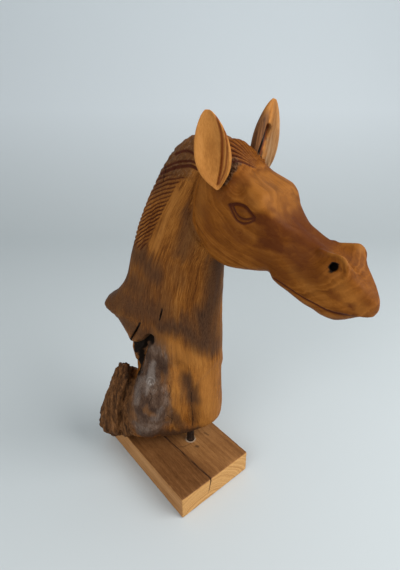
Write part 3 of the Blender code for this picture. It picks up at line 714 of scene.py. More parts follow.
def mouth(skin):
    """The line between the lips, and the lower jaw set back under it."""
    line = open_curve(MOUTH)
    groove = MOUTH_DEPTH * bump(distance_to(skin.side_of_head(), line), MOUTH_REACH)
    under_line = smooth_step(np.interp(skin.along, line[:, 0], line[:, 1]) - skin.up, 0.3, 2)
    set_back = LOWER_LIP_BACK * (1 + smooth_step(skin.along, 140, 156))
    return -smooth_step(skin.along, 79, 85) * (groove + set_back * under_line)


def nostrils(skin):
    """A raised rim over each nostril, with a furrow inside it and a dish around the hole."""
    place = skin.both_sides_of_head()
    dish = bump(np.linalg.norm(place - np.array(NOSTRIL_CENTRE), axis=1), NOSTRIL_DISH_REACH)
    raised = -NOSTRIL_DISH_DEPTH * dish
    for path, height, reach in NOSTRIL_LINES:
        raised = raised + height * bump(distance_to(place, open_curve(path)), reach)
    return raised


def cheeks(skin):
    """The edge where the head's round cheeks stand over the neck."""
    behind = deepest_of(skin.side_of_head(), [(CHEEK_EDGE, CHEEK_EDGE_DEPTH, CHEEK_EDGE_REACH)])
    return -behind * smooth_step(abs(skin.out), 10, 16)


def strands(count_across, depth):
    """Grooves at each whole number, rounded locks between them."""
    return depth * (1 - abs(np.sin(math.pi * count_across))) ** 1.5


def forelock_parts(skin):
    """How far inside the forelock each point is, and how deep its groove is there."""
    back, aside = FORELOCK_POINT[0] - skin.along, skin.out - FORELOCK_POINT[1]
    angle = np.arctan2(aside, np.maximum(back, 0.1))
    inside = smooth_step(back, 0, 4) * smooth_step(FORELOCK_LENGTH - back, 0, 10)
    inside = inside * smooth_step(FORELOCK_SPREAD - abs(angle), 0, 0.12) * smooth_step(skin.up, 34, 38)
    grooves = strands(angle / FORELOCK_SPREAD * FORELOCK_STRANDS / 2, FORELOCK_GROOVE_DEPTH)
    return inside, grooves * smooth_step(np.hypot(back, aside), 5, 14)


def forelock(skin):
    """Locks that run from the poll to a point on the forehead."""
    inside, grooves = forelock_parts(skin)
    return inside * (FORELOCK_HEIGHT - grooves)


def at_level(skin, path):
    """Where along the neck the path runs, at each point's level."""
    curve = open_curve(path)
    return np.interp(skin.height, curve[:, 1], curve[:, 0])


def mane_grooves(skin):
    """Slanting grooves from the mane's inner edge down to the crest, and the cuts across the crown."""
    inner, outer = at_level(skin, MANE_EDGE), at_level(skin, MANE_CREST)
    inside = smooth_step(inner - skin.neck_along, -1, 3)
    inside = inside * smooth_step(skin.height, 248, 254) * smooth_step(MANE_TOP - skin.height, 0, 8)
    slant = np.interp(skin.height, *zip(*MANE_SLANT))
    level = skin.height - MANE_DROP * abs(skin.neck_left) - slant * (skin.neck_along - outer)
    count = (level + MANE_WAVE * ragged(skin.points, (9, 9, 14), 3)) / MANE_GROOVE_PITCH
    uneven = 0.85 + 0.5 * ragged(np.stack([count, 0 * count, 0 * count], axis=1), (1.3, 1, 1), 4)
    cuts = deepest_of(skin.side_of_neck(), CROWN_LINES) * smooth_step(abs(skin.neck_left), 3, 8)
    return np.maximum(inside * strands(count, MANE_GROOVE_DEPTH) * uneven, cuts)


def mane(skin):
    """The mane's grooves, and the ridge along its inner edge."""
    beside = at_level(skin, MANE_EDGE) + MANE_RIM_OFFSET - skin.neck_along
    rim = MANE_RIM_HEIGHT * bump(abs(beside), MANE_RIM_REACH) * smooth_step(abs(skin.neck_left), 6, 12)
    rim = rim * smooth_step(skin.height, 244, 256) * smooth_step(MANE_TOP - skin.height, 0, 8)
    return rim - mane_grooves(skin)


def trunk_cuts(skin):
    """Hollows, creases and cracks on the trunk's right side."""
    place = skin.side_of_neck()
    deepest = deepest_of(place, TRUNK_CUTS)
    for start, end, depth, reach in TRUNK_CRACKS:
        middle, half = (np.array(start) + end) / 2, (np.array(end) - start) / 2
        length = np.linalg.norm(half)
        along = (place - middle) @ half / length
        aside = (place - middle) @ np.array([-half[1], half[0]]) / length
        deepest = np.maximum(deepest, depth * bump(np.hypot(along / length, aside / reach), 1))
    return -deepest * smooth_step(-skin.neck_left, -2, 8)


def on_burl(skin):
    """1 on the rough burl and 0 elsewhere, with a soft edge."""
    return smooth_step(BURL_FRONT - skin.neck_along, 0, 10) * smooth_step(BURL_TOP - skin.height, 0, 8)


def weathering(skin):
    """Slow waves of the worn wood, and the burl's ragged growth."""
    waves, lumps, grains = (
        relief_of(skin.points, form, seed)
        for seed, form in enumerate((WORN_WAVES, BURL_LUMPS, BURL_GRAINS), 1)
    )
    burl = on_burl(skin)
    worn = waves * smooth_step(320 - skin.height, 0, 60)
    return worn * (1 - burl) + (lumps + grains) * burl * smooth_step(skin.height, 2, 12)


def pushed(mesh, how_far):
    """The mesh with its points moved out along its own directions. how_far takes points and directions."""
    count = len(mesh.vertices)
    points, normals = np.empty(count * 3), np.empty(count * 3)
    mesh.vertices.foreach_get("co", points)
    mesh.vertex_normals.foreach_get("vector", normals)
    points, normals = points.reshape(-1, 3), normals.reshape(-1, 3)
    push = how_far(points, normals)
    mesh.vertices.foreach_set("co", (points + normals * np.reshape(push, (-1, 1))).ravel())
    mesh.update()
    return mesh


def carving(points, _normals):
    """How far the carver's work pushes each point of the figure."""
    skin = Skin(points)
    works = (eyes, mouth, nostrils, cheeks, forelock, mane, trunk_cuts, weathering)
    return sum(work(skin) for work in works)


def thinned(mesh, triangles):
    """The mesh with no more than that many triangles, most of them where it curves most."""
    now = sum(len(face.vertices) - 2 for face in mesh.polygons)
    return with_modifiers(
        mesh, ("DECIMATE", dict(ratio=min(1, triangles / now), use_collapse_triangulate=True))
    )


def ear_axes(ear):
    """Foot of an ear, its length, and its directions across, up and towards its opening."""
    ahead, aside = direction(HEAD_HEADING)
    foot, tip = (
        np.array([*(np.array(NECK_AXIS) + ahead * along + aside * left), height])
        for along, height, left in (ear["foot"], ear["tip"])
    )
    length = np.linalg.norm(tip - foot)
    axis = (tip - foot) / length
    opening = np.array([*direction(ear["opening"])[0], 0])
    opening = opening - axis * (opening @ axis)
    opening = opening / np.linalg.norm(opening)
    return foot, length, np.array([np.cross(axis, opening), axis, opening])


def ear_rings(ear, count=40):
    """Rings of an ear from its foot to its tip, a leaf with a folded section."""
    foot, length, (across, axis, opening) = ear_axes(ear)
    section = closed_curve(ear["section"], 6)
    rings = []
    for t in np.linspace(0.012, 0.988, count):
        blunt = EAR_WIDTH_BLUNT + EAR_FOOT_POINT * (1 - t) ** 3
        width = ear["half_width"] * math.sin(math.pi * t**EAR_WIDEST) ** blunt
        depth = ear["depth"] * math.sin(math.pi * t**EAR_DEEPEST) ** EAR_DEPTH_BLUNT
        middle = foot + axis * length * t - opening * ear["bend"] * math.sin(math.pi * t)
        rings.append([middle + across * x * width + opening * y * depth for x, y in section])
    return rings


def ear_carving(ear):
    """How far an ear's grooves push each of its points."""
    foot, _length, axes = ear_axes(ear)

    def how_far(points, normals):
        place = ((points - foot) @ axes.T)[:, :2]
        return -deepest_of(place, ear["grooves"]) * smooth_step(normals @ axes[2], 0, 0.3)

    return how_far


def placed(mesh):
    """Brings a mesh from the figure's units to metres over the plank."""
    mesh.transform(Matrix.Translation((0, 0, PLANK_THICKNESS)) @ Matrix.Scale(UNIT, 4))
    return mesh


def nostril_mesh(name, side):
    """The round bit that drills one nostril, pointing into the muzzle."""
    origin, axes = head_axes()
    along, up, out = NOSTRIL_CENTRE
    mouth_of_hole = origin + axes[0] * along + axes[1] * up + axes[2] * out * side
    drill = Vector(np.array(NOSTRIL_WAY) * (1, 1, side) @ axes).normalized()
    bm = bmesh.new()
    turn = drill.to_track_quat("Z", "Y").to_matrix().to_4x4()
    middle = Vector(mouth_of_hole) + drill * (NOSTRIL_DEPTH - NOSTRIL_CLEARANCE) / 2
    bmesh.ops.create_cone(
        bm, cap_ends=True, segments=28, radius1=NOSTRIL_DIAMETER / 2, radius2=NOSTRIL_END_DIAMETER / 2,
        depth=NOSTRIL_DEPTH + NOSTRIL_CLEARANCE, matrix=Matrix.Translation(middle) @ turn,
    )
    return placed(mesh_from(bm, name))


def in_figure(mesh):
    """A placed mesh's points in the figure's units."""
    points = np.empty(len(mesh.vertices) * 3)
    mesh.vertices.foreach_get("co", points)
    return (points.reshape(-1, 3) - (0, 0, PLANK_THICKNESS)) / UNIT


def on_head(skin):
    """1 on the head and 0 on the neck, with a narrow blend along the cheek's edge."""
    edge, table = open_curve(CHEEK_EDGE)[::-1], np.array(HEAD, float)
    past_edge = skin.along - np.interp(skin.up, edge[:, 1], edge[:, 0])
    over_jaw = skin.up - np.interp(skin.along, table[:, 0], table[:, -1])
    return smooth_step(past_edge, -2, 2) * smooth_step(over_jaw, -4, 1)


def fibre(skin):
    """Where each point lies across, through and along the wood's grain."""
    across = skin.neck_along - np.interp(skin.height, *zip(*GRAIN_LEAN))
    neck = np.stack([across, skin.neck_left, skin.height], axis=1)
    head = np.stack([skin.up, skin.out, skin.along], axis=1)
    share = on_head(skin)[:, None]
    return neck * (1 - share) + head * share


def knots(skin):
    """1 at the heart of each knot of the head, fading to 0 at its rim."""
    place = skin.side_of_head()
    near = [bump(np.linalg.norm(place - np.array(centre), axis=1), reach) for centre, reach in KNOTS]
    return np.max(near, axis=0)


def growth_rings(skin):
    """How far each point of the head is from the heart of its rings, curled over each eye and by knots."""
    place = skin.both_sides_of_head()
    heart = (place - RING_HEART) / RING_STRETCH
    centre, reach, height = RING_CURL
    curl = height * bump(np.linalg.norm((place - centre) / reach, axis=1), 1)
    return np.linalg.norm(heart, axis=1) + curl + 6.0 * knots(skin)


def wandering(skin, place, far=3.5):
    """The place moved about, so that a patch's edge wanders with the grain."""
    grain = fibre(skin)
    aside = ragged(grain, (7, 12, 40), 21) + 0.6 * ragged(grain, (2.5, 6, 20), 22)
    return place + far * np.stack([aside, 2 * ragged(grain, (4, 8, 30), 23)], axis=1)


def on_swelling(skin):
    """1 on the grey swelling of the trunk's right side, with a wandering edge."""
    place = wandering(skin, skin.side_of_neck(), 4)
    return np.minimum(deepest_of(place, GREY_STROKES) * 1.3, 1) * smooth_step(-skin.neck_left, 2, 22)


def hair_cracks(skin):
    """1 in the fine cracks of the neck's right side."""
    place = skin.side_of_neck() + 0.6 * ragged(skin.points, (2, 2, 3), 25)[:, None]
    gaps = [distance_to(place, np.array(path, float)) for path in HAIR_CRACKS]
    return bump(np.min(gaps, axis=0), HAIR_CRACK_REACH) * smooth_step(-skin.neck_left, 2, 10)


def ripples(skin):
    """Broken arcs round the ripples' centre: how near each point is, and how high it stands there."""
    far = np.linalg.norm((skin.side_of_neck() - np.array(RIPPLE_CENTRE)) / (1, 1.5), axis=1)
    broken = smooth_step(ragged(skin.points, (5, 5, 5), 26), -0.15, 0.25) * (skin.neck_left < 0)
    return bump(far, RIPPLE_REACH) * broken, np.sin(far * RIPPLE_RATE)


def groove_shade(skin):
    """1 in the lines that the carver cut, fading to 0 beside them; the colour paints their shade there."""
    from_lips = distance_to(skin.side_of_head(), open_curve(MOUTH))
    lips = smooth_step(skin.along, 79, 85) * bump(from_lips, MOUTH_REACH)
    furrow = NOSTRIL_LINES[1][0]
    rims = 0.55 * bump(distance_to(skin.both_sides_of_head(), open_curve(furrow)), 3)
    locks = 1.7 * mane_grooves(skin) / MANE_GROOVE_DEPTH
    inside, grooves = forelock_parts(skin)
    hair = 1.5 * inside * grooves / FORELOCK_GROOVE_DEPTH
    return np.clip(np.max([lids(skin) / 1.4, 1.1 * lips, rims, locks, hair], axis=0), 0, 1)


def recess_shade(skin):
    """1 deep in the hollow, the cracks and the nostrils, where the colour paints their shade."""
    place = skin.side_of_neck()
    cuts = deepest_of(place + 1.5 * ragged(skin.points, (3, 3, 4), 24)[:, None], HOLLOW_SHADE_STROKES)
    for start, end, _depth, reach in TRUNK_CRACKS:
        cuts = np.maximum(cuts, 1.5 * bump(distance_to(place, np.array([start, end], float)), reach))
    cuts = cuts * smooth_step(-skin.neck_left, -2, 8)
    drill = np.array(NOSTRIL_WAY) / np.linalg.norm(NOSTRIL_WAY)
    from_mouth = skin.both_sides_of_head() - np.array(NOSTRIL_CENTRE)
    inside = from_mouth @ drill
    aside = np.linalg.norm(from_mouth - inside[:, None] * drill, axis=1)
    hole = smooth_step(inside, 0.5, 2.0) * smooth_step(NOSTRIL_DIAMETER / 2 + 0.5 - aside, 0, 0.3)
    hole = hole * (inside < NOSTRIL_DEPTH + 2)
    return np.clip(np.max([cuts, hole, 0.75 * hair_cracks(skin)], axis=0), 0, 1)


def ear_seats(skin):
    """1 on the rough wood around each ear's foot."""
    near = np.full(len(skin.points), np.inf)
    for ear in (RIGHT_EAR, LEFT_EAR):
        foot, _length, axes = ear_axes(ear)
        near = np.minimum(near, distance_to(skin.points, [foot, foot + axes[1] * EAR_SEAT_HEIGHT]))
    return bump(near, EAR_SEAT_REACH)


def on_crown(skin):
    """1 on the rough top of the neck behind the ears."""
    return smooth_step(skin.height, 316, 328) * (1 - on_head(skin)) * smooth_step(12 - skin.neck_along, 0, 12)


def crust(skin):
    """1 on the bark that is left in front of each ear's foot."""
    place = skin.side_of_head() + 1.2 * ragged(skin.points, (3, 3, 3), 27)[:, None]
    return deepest_of(place, CRUST_STROKES) * smooth_step(abs(skin.out), 12, 17)


def fine_relief(skin):
    """Ridges along the grain, and the skin of burl, crown, swelling, bark and ear seats."""
    grain, head, burl = fibre(skin), on_head(skin), on_burl(skin)
    swelling_share = on_swelling(skin)
    ridges = relief_of(grain, GRAIN_RIDGES, 7) + relief_of(grain, GRAIN_FINE_RIDGES, 8)
    relief = ridges * (1 - head) * (1 - burl) * (1 - 0.5 * swelling_share)
    relief = relief + relief_of(skin.points, HEAD_WAVES, 9) * head
    bark = relief_of(grain, BARK_RIDGES, 10) + relief_of(skin.points, BARK_GRAINS, 11)
    relief = relief + burl * bark * (1 + smooth_step(skin.height, 84, 96))
    relief = relief + relief_of(skin.points, CROWN_LUMPS, 14) * on_crown(skin)
    near, height = ripples(skin)
    relief = relief + RIPPLE_HEIGHT * near * height * swelling_share
    relief = relief + relief_of(skin.points, SWELLING_DENTS, 12) * swelling_share
    rough = np.maximum(ear_seats(skin), crust(skin))
    relief = relief + relief_of(skin.points, SEAT_CRUMBS, 13) * rough
    return relief - HAIR_CRACK_DEPTH * hair_cracks(skin)


def fine_carving(points, normals):
    """The carving of the solids, with the finer relief that only shows close up."""
    return carving(points, normals) + fine_relief(Skin(points))


def paint(mesh, name, values):
    """Keeps one value a point, or one place a point, for the material to read."""
    values = np.asarray(values, np.float32)
    if values.ndim == 2:
        mesh.attributes.new(name, "FLOAT_VECTOR", "POINT").data.foreach_set("vector", values.ravel())
    else:
        mesh.attributes.new(name, "FLOAT", "POINT").data.foreach_set("value", values)


def paint_figure(mesh):
    """What the wood's material needs to know of each point of the figure."""
    skin = Skin(in_figure(mesh))
    neck_place = wandering(skin, skin.side_of_neck())
    head = on_head(skin)
    paint(mesh, "fibre", fibre(skin))
    paint(mesh, "rings", growth_rings(skin))
    paint(mesh, "head", head)
    paint(mesh, "lines", groove_shade(skin))
    paint(mesh, "dark", recess_shade(skin))
    paint(mesh, "burl", on_burl(skin))
    paint(mesh, "swelling", on_swelling(skin))
    paint(mesh, "stain_and_shade", deepest_of(neck_place, STAINS_AND_SHADE) * (1 - head))
    paint(mesh, "pale_and_highlit_neck", deepest_of(neck_place, PALE_AND_HIGHLIT_NECK_STROKES) * (1 - head))
    paint(mesh, "tan", deepest_of(neck_place, TAN_STROKES) * (skin.neck_left < 0))
    paint(mesh, "painted_highlight", deepest_of(neck_place, PAINTED_HIGHLIGHT_STROKES) * (skin.neck_left < 0))
    blotches = deepest_of(wandering(skin, skin.side_of_head(), 3), BLOTCHES)
    blotches = np.max([blotches * head, 0.8 * knots(skin) * head, 0.7 * ear_seats(skin)], axis=0)
    paint(mesh, "blotch", blotches)
    paint(mesh, "pale", deepest_of(skin.side_of_head(), PALE_AND_HIGHLIT_HEAD_STROKES) * head)
    paint(mesh, "crust", np.maximum(crust(skin), 0.42 * on_crown(skin)))
    near, height = ripples(skin)
    paint(mesh, "glints", near * smooth_step(height, 0.1, 0.8))


class Look:
    """A material's nodes, made one after another."""

    def __init__(self, name, specular=0.3):
        self.material = bpy.data.materials.new(name)
        self.material.use_nodes = True
        self.tree = self.material.node_tree
        self.shader = self.tree.nodes["Principled BSDF"]
        self.shader.inputs["Specular IOR Level"].default_value = specular

    def join(self, value, socket):
        if isinstance(value, bpy.types.NodeSocket):
            self.tree.links.new(value, socket)
        else:
            socket.default_value = value

    def node(self, kind, values, **settings):
        made = self.tree.nodes.new(f"ShaderNode{kind}")
        for key, value in settings.items():
            setattr(made, key, value)
        for key, value in values.items():
            self.join(value, made.inputs[key])
        return made

    def painted(self, name, output="Fac"):
        return self.node("Attribute", {}, attribute_name=name).outputs[output]

    def noise(self, place, scale, detail=4.0, roughness=0.6):
        stretched = self.node("VectorMath", {0: place, 1: scale}, operation="MULTIPLY").outputs[0]
        values = {"Vector": stretched, "Scale": 1.0, "Detail": detail, "Roughness": roughness}
        return self.node("TexNoise", values).outputs["Fac"]

    def bands(self, distance, pitch, detail=3.0):
        """Uneven bands, each about one pitch wide."""
        count = self.sum((distance, 1 / pitch))
        values = {"W": count, "Scale": 1.0, "Detail": detail, "Roughness": 0.6}
        return self.node("TexNoise", values, noise_dimensions="1D").outputs["Fac"]

    def sum(self, *terms):
        """The sum of (value, weight) pairs."""
        total = 0.0
        for value, weight in terms:
            total = self.node(
                "Math", {0: value, 1: weight, 2: total}, operation="MULTIPLY_ADD"
            ).outputs[0]
        return total

    def between(self, value, low, high, start=0.0, end=1.0):
        values = {"Value": value, "From Min": low, "From Max": high, "To Min": start, "To Max": end}
        return self.node("MapRange", values).outputs[0]

    def ramp(self, value, *stops):
        made = self.node("ValToRGB", {"Fac": value})
        elements = made.color_ramp.elements
        elements[0].position, elements[1].position = stops[0][0], stops[-1][0]
        for position, _colour in stops[1:-1]:
            elements.new(position)
        for element, (_position, colour) in zip(elements, stops):
            element.color = (*colour, 1)
        return made.outputs["Color"]

    def mix(self, share, under, over, blend="MIX"):
        colours = [(*c, 1) if isinstance(c, tuple) else c for c in (under, over)]
        values = {"Fac": share, "Color1": colours[0], "Color2": colours[1]}
        return self.node("MixRGB", values, blend_type=blend).outputs[0]

    def wood(self, value, dark, middle, light):
        """A wood's colours, spread over the narrow range of its grain."""
        return self.ramp(value, (0.39, dark), (0.50, middle), (0.61, light))

    def cover(self, under, over, value, low, high, most=1.0):
        """One colour over another, from none of it at the low value to its most at the high one."""
        return self.mix(self.between(value, low, high, 0, most), under, over)

    def finish(self, colour, roughness, height=None, depth=0.0004, strength=0.5):
        self.join(colour, self.shader.inputs["Base Color"])
        self.join(roughness, self.shader.inputs["Roughness"])
        if height is not None:
            values = {"Height": height, "Distance": depth, "Strength": strength}
            self.join(self.node("Bump", values).outputs[0], self.shader.inputs["Normal"])
        return self.material


def driftwood_look():
    """Oiled wood: streaked on the neck and stained there partly with painted shade, even and ringed on the
    head, rough on the burl, with painted shade in its carved lines, hollows and cracks and painted highlights
    on the swelling and the neck's front edge.
    """
    look = Look("driftwood_oiled", 0.08)
    grain, head = look.painted("fibre", "Vector"), look.painted("head")
    streaks = look.noise(grain, (0.62, 0.35, 0.018), 7, 0.72)
    hairs = look.noise(grain, (3.0, 2.0, 0.10), 4, 0.68)
    clouds = look.noise(grain, (0.05, 0.05, 0.014), 4, 0.55)
    mottle = look.noise(grain, (0.19, 0.19, 0.075), 6, 0.66)
    rings = look.bands(look.sum((look.painted("rings"), 1.0), (clouds, 12.0)), 2.2)
    broad_rings = look.bands(look.sum((look.painted("rings"), 1.0), (clouds, 22.0)), 9.0, 3.0)

    on_neck = look.ramp(
        look.sum((streaks, 0.40), (hairs, 0.38), (clouds, 0.22)),
        (0.39, (0.060, 0.017, 0.0025)), (0.46, (0.150, 0.046, 0.006)),
        (0.52, (0.255, 0.088, 0.013)), (0.61, (0.42, 0.175, 0.036)),
    )
    head_value = look.sum((rings, 0.24), (broad_rings, 0.20), (clouds, 0.14), (hairs, 0.14), (mottle, 0.28))
    on_head_wood = look.wood(
        head_value, (0.110, 0.029, 0.0022), (0.205, 0.062, 0.0058), (0.315, 0.110, 0.016)
    )
    colour = look.mix(head, on_neck, on_head_wood)
    # Paler wood on the neck, with painted highlight along its front edge
    colour = look.cover(colour, (0.42, 0.17, 0.036), look.painted("pale_and_highlit_neck"), 0, 1, 0.6)
    # Paler wood on the head, with painted highlight along the nostrils' rims
    colour = look.cover(colour, (0.37, 0.150, 0.030), look.painted("pale"), 0, 1, 0.5)
    blotch = look.sum((look.painted("blotch"), 1.0), (mottle, 1.1), (rings, 0.3))
    colour = look.cover(colour, (0.078, 0.016, 0.0022), blotch, 0.78, 1.50, 0.88)

    # Dark stains and painted shade on the neck's sides
    stain_and_shade = look.sum((look.painted("stain_and_shade"), 1.0), (streaks, 0.6), (hairs, 0.4))
    stain_and_shade_colour = look.ramp(hairs, (0.36, (0.024, 0.012, 0.007)), (0.64, (0.098, 0.044, 0.021)))
    colour = look.cover(colour, stain_and_shade_colour, stain_and_shade, 0.62, 1.5, 0.94)

    swelling = look.painted("swelling")
    patchy = look.sum((look.noise(grain, (0.075, 0.075, 0.035), 5, 0.62), 0.6), (hairs, 0.4))
    grey = look.ramp(
        patchy,
        (0.39, (0.022, 0.013, 0.010)), (0.47, (0.055, 0.031, 0.021)),
        (0.54, (0.105, 0.064, 0.043)), (0.62, (0.185, 0.130, 0.100)),
    )
    tan = look.sum((look.painted("tan"), 1.0), (streaks, 0.8))
    grey = look.cover(grey, (0.20, 0.084, 0.026), tan, 0.55, 1.3, 0.85)
    # Painted highlights over the swelling's grey
    painted_highlight = look.sum((look.painted("painted_highlight"), 1.0), (hairs, 1.2))
    grey = look.cover(grey, (0.29, 0.245, 0.215), painted_highlight, 0.85, 1.9, 0.65)
    over_swelling = look.sum((swelling, 1.0), (mottle, 0.7), (hairs, 0.3))
    colour = look.cover(colour, grey, over_swelling, 0.62, 1.35, 0.94)
    colour = look.cover(colour, (0.42, 0.37, 0.33), look.painted("glints"), 0, 1, 0.55)

    crumbs = look.noise(grain, (0.55, 0.55, 0.30), 5, 0.7)
    crust = look.ramp(
        crumbs, (0.40, (0.018, 0.010, 0.006)), (0.52, (0.075, 0.034, 0.015)), (0.62, (0.19, 0.11, 0.060))
    )
    over_crust = look.sum((look.painted("crust"), 1.0), (crumbs, 0.6))
    colour = look.cover(colour, crust, over_crust, 0.50, 1.0, 0.9)

    burl = look.painted("burl")
    rough = look.noise(grain, (0.30, 0.30, 0.05), 6, 0.7)
    bark = look.ramp(
        look.sum((rough, 0.7), (clouds, 0.3)),
        (0.38, (0.020, 0.009, 0.004)), (0.47, (0.060, 0.026, 0.011)),
        (0.54, (0.125, 0.052, 0.018)), (0.63, (0.23, 0.105, 0.042)),
    )
    colour = look.cover(colour, bark, burl, 0, 1, 0.95)

    # Painted shade in the carved lines of lids, lips, nostrils' furrows, mane and forelock
    colour = look.cover(colour, (0.062, 0.012, 0.004), look.painted("lines"), 0.12, 0.8, 0.92)
    # Near black painted shade deep in the hollow, the cracks and the nostrils
    dark = look.painted("dark")
    colour = look.cover(colour, (0.010, 0.006, 0.004), dark, 0.2, 0.8)

    roughness = look.between(look.sum((hairs, 0.5), (streaks, 0.5)), 0.35, 0.65, 0.46, 0.62)
    roughness = look.node("Mix", {0: swelling, 2: roughness, 3: 0.34}).outputs[0]
    roughness = look.node("Mix", {0: burl, 2: roughness, 3: 0.78}).outputs[0]
    roughness = look.node("Mix", {0: dark, 2: roughness, 3: 0.85}).outputs[0]
    height = look.sum((hairs, 0.6), (streaks, 0.7), (rough, burl))
    return look.finish(colour, roughness, height, 0.0005, 0.45)


def ear_look(name, aged):
    """Paler carved wood, with painted shade in its grooves. An aged ear is dark in its hollow, with painted
    shade in its slit, and weathered grey beside it.
    """
    look = Look(name, 0.12)
    grain = look.painted("fibre", "Vector")
    pores = look.noise(grain, (1.2, 1.2, 0.3), 5, 0.65)
    clouds = look.noise(grain, (0.09, 0.09, 0.04), 3, 0.5)
    value = look.sum((pores, 0.4), (clouds, 0.6))
    colour = look.ramp(
        value, (0.38, (0.345, 0.130, 0.025)), (0.50, (0.45, 0.180, 0.038)), (0.62, (0.54, 0.230, 0.056))
    )
    if aged:
        streaks = look.noise(grain, (0.5, 0.5, 0.03), 6, 0.7)
        grey = look.ramp(
            streaks, (0.38, (0.15, 0.072, 0.028)), (0.52, (0.34, 0.195, 0.090)), (0.64, (0.46, 0.30, 0.17))
        )
        colour = look.mix(look.painted("weathered"), colour, grey)
        brown = look.ramp(streaks, (0.38, (0.060, 0.022, 0.008)), (0.62, (0.21, 0.085, 0.028)))
        colour = look.mix(look.painted("brown"), colour, brown)
    # Painted shade in the ear's grooves
    colour = look.cover(colour, (0.17, 0.034, 0.005), look.painted("lines"), 0.25, 0.95, 0.88)
    # Near black painted shade in the aged ear's slit
    if aged:
        colour = look.cover(colour, (0.012, 0.006, 0.004), look.painted("slit_shade"), 0.1, 0.6)
    roughness = look.between(pores, 0.35, 0.65, 0.48, 0.62)
    return look.finish(colour, roughness, pores, 0.0003, 0.35)


def plank_look():
    """A sawn board: brown and worn on top, darkened there by painted shade of the figure most on one half,
    paler on its sides, with rings on its ends and painted shade in its split.
    """
    look = Look("plank_sawn", 0.15)
    grain, top = look.painted("fibre", "Vector"), look.painted("top")
    streaks = look.noise(grain, (0.35, 0.35, 0.012), 6, 0.65)
    pores = look.noise(grain, (1.8, 1.8, 0.16), 4, 0.6)
    clouds = look.noise(grain, (0.03, 0.03, 0.018), 3, 0.5)
    rings = look.bands(look.sum((look.painted("rings"), 1.0), (clouds, 10.0)), 3.0)
    value = look.sum((streaks, 0.35), (pores, 0.35), (clouds, 0.3))
    stained_and_shaded_top = look.wood(value, (0.085, 0.031, 0.008), (0.150, 0.059, 0.017), (0.230, 0.098, 0.032))
    brown = look.wood(value, (0.145, 0.056, 0.015), (0.238, 0.100, 0.029), (0.35, 0.162, 0.052))
    tan = look.wood(value, (0.28, 0.115, 0.033), (0.395, 0.183, 0.058), (0.50, 0.255, 0.094))
    end_value = look.sum((rings, 0.4), (pores, 0.6))
    end = look.wood(end_value, (0.40, 0.185, 0.052), (0.56, 0.290, 0.094), (0.69, 0.390, 0.140))
    colour = look.mix(look.painted("end"), tan, end)
    # The top, darker than the sides partly from stain and partly from painted shade of the figure, most on
    # one half
    colour = look.mix(top, colour, look.mix(look.painted("less_stained_and_shaded"), stained_and_shaded_top, brown))
    # Dark stains and painted shade under the figure's overhang
    colour = look.cover(colour, (0.06, 0.026, 0.010), look.painted("stain_and_shade"), 0, 1, 0.85)
    colour = look.cover(colour, (0.50, 0.42, 0.32), look.painted("glue"), 0, 1, 0.8)
    # Painted shade in and along the split
    colour = look.mix(look.painted("dark"), colour, (0.045, 0.018, 0.007))
    roughness = look.between(pores, 0.35, 0.65, 0.50, 0.66)
    height = look.sum((streaks, 0.6), (pores, 0.5))
    return look.finish(colour, roughness, height, 0.0004, 0.4)


def steel_look():
    """Dark steel with a thin film of rust."""
    look = Look("steel_dark", 0.5)
    place = look.node("TexCoord", {}).outputs["Object"]
    spots = look.noise(place, (420.0, 420.0, 300.0), 5, 0.65)
    colour = look.ramp(
        spots, (0.40, (0.020, 0.016, 0.014)), (0.56, (0.045, 0.030, 0.022)), (0.68, (0.12, 0.055, 0.028))
    )
    look.join(0.7, look.shader.inputs["Metallic"])
    return look.finish(colour, look.between(spots, 0.3, 0.7, 0.38, 0.70), spots, 0.0001, 0.4)


def studio_look():
    """Plain pale grey paint, a little darker on the floor than on the wall."""
    look = Look("studio_grey", 0.1)
    place = look.node("TexCoord", {}).outputs["Object"]
    level = look.node("SeparateXYZ", {"Vector": place}).outputs["Z"]
    colour = look.mix(look.between(level, 0.0, WALL_SWEEP / 2), (0.58, 0.62, 0.63), (0.75, 0.80, 0.83))
    return look.finish(colour, 0.9)


def piece(name, mesh, look, node):
    """Puts a finished mesh in the scene, in place of one node of the solids."""
    obj = bpy.data.objects.new(name, mesh)
    mesh.name = name
    mesh.materials.clear()
    mesh.materials.append(look)
    mesh.shade_smooth()
    bpy.context.scene.collection.objects.link(obj)
    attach(obj, "root")
    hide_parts(node)
    return obj


def less(mesh, *tools, rough=False):
    """The mesh without the tools' shapes. A rough tool's skin may cross itself."""
    cutters = [bpy.data.objects.new("cutter", tool) for tool in tools]
    for obj in cutters:
        bpy.context.scene.collection.objects.link(obj)
    settings = dict(operation="DIFFERENCE", solver="EXACT", use_self=rough)
    result = with_modifiers(mesh, *[("BOOLEAN", dict(settings, object=obj)) for obj in cutters])
    for obj in cutters:
        bpy.data.objects.remove(obj)
    return result


def cylinder(radius, bottom, top, segments=64):
    """An upright cylinder at the rod's place."""
    bm = bmesh.new()
    bmesh.ops.create_cone(
        bm, cap_ends=True, segments=segments, radius1=radius, radius2=radius, depth=top - bottom,
        matrix=Matrix.Translation((ROD_X, ROD_Y, (bottom + top) / 2)),
    )
    return mesh_from(bm, "cylinder")


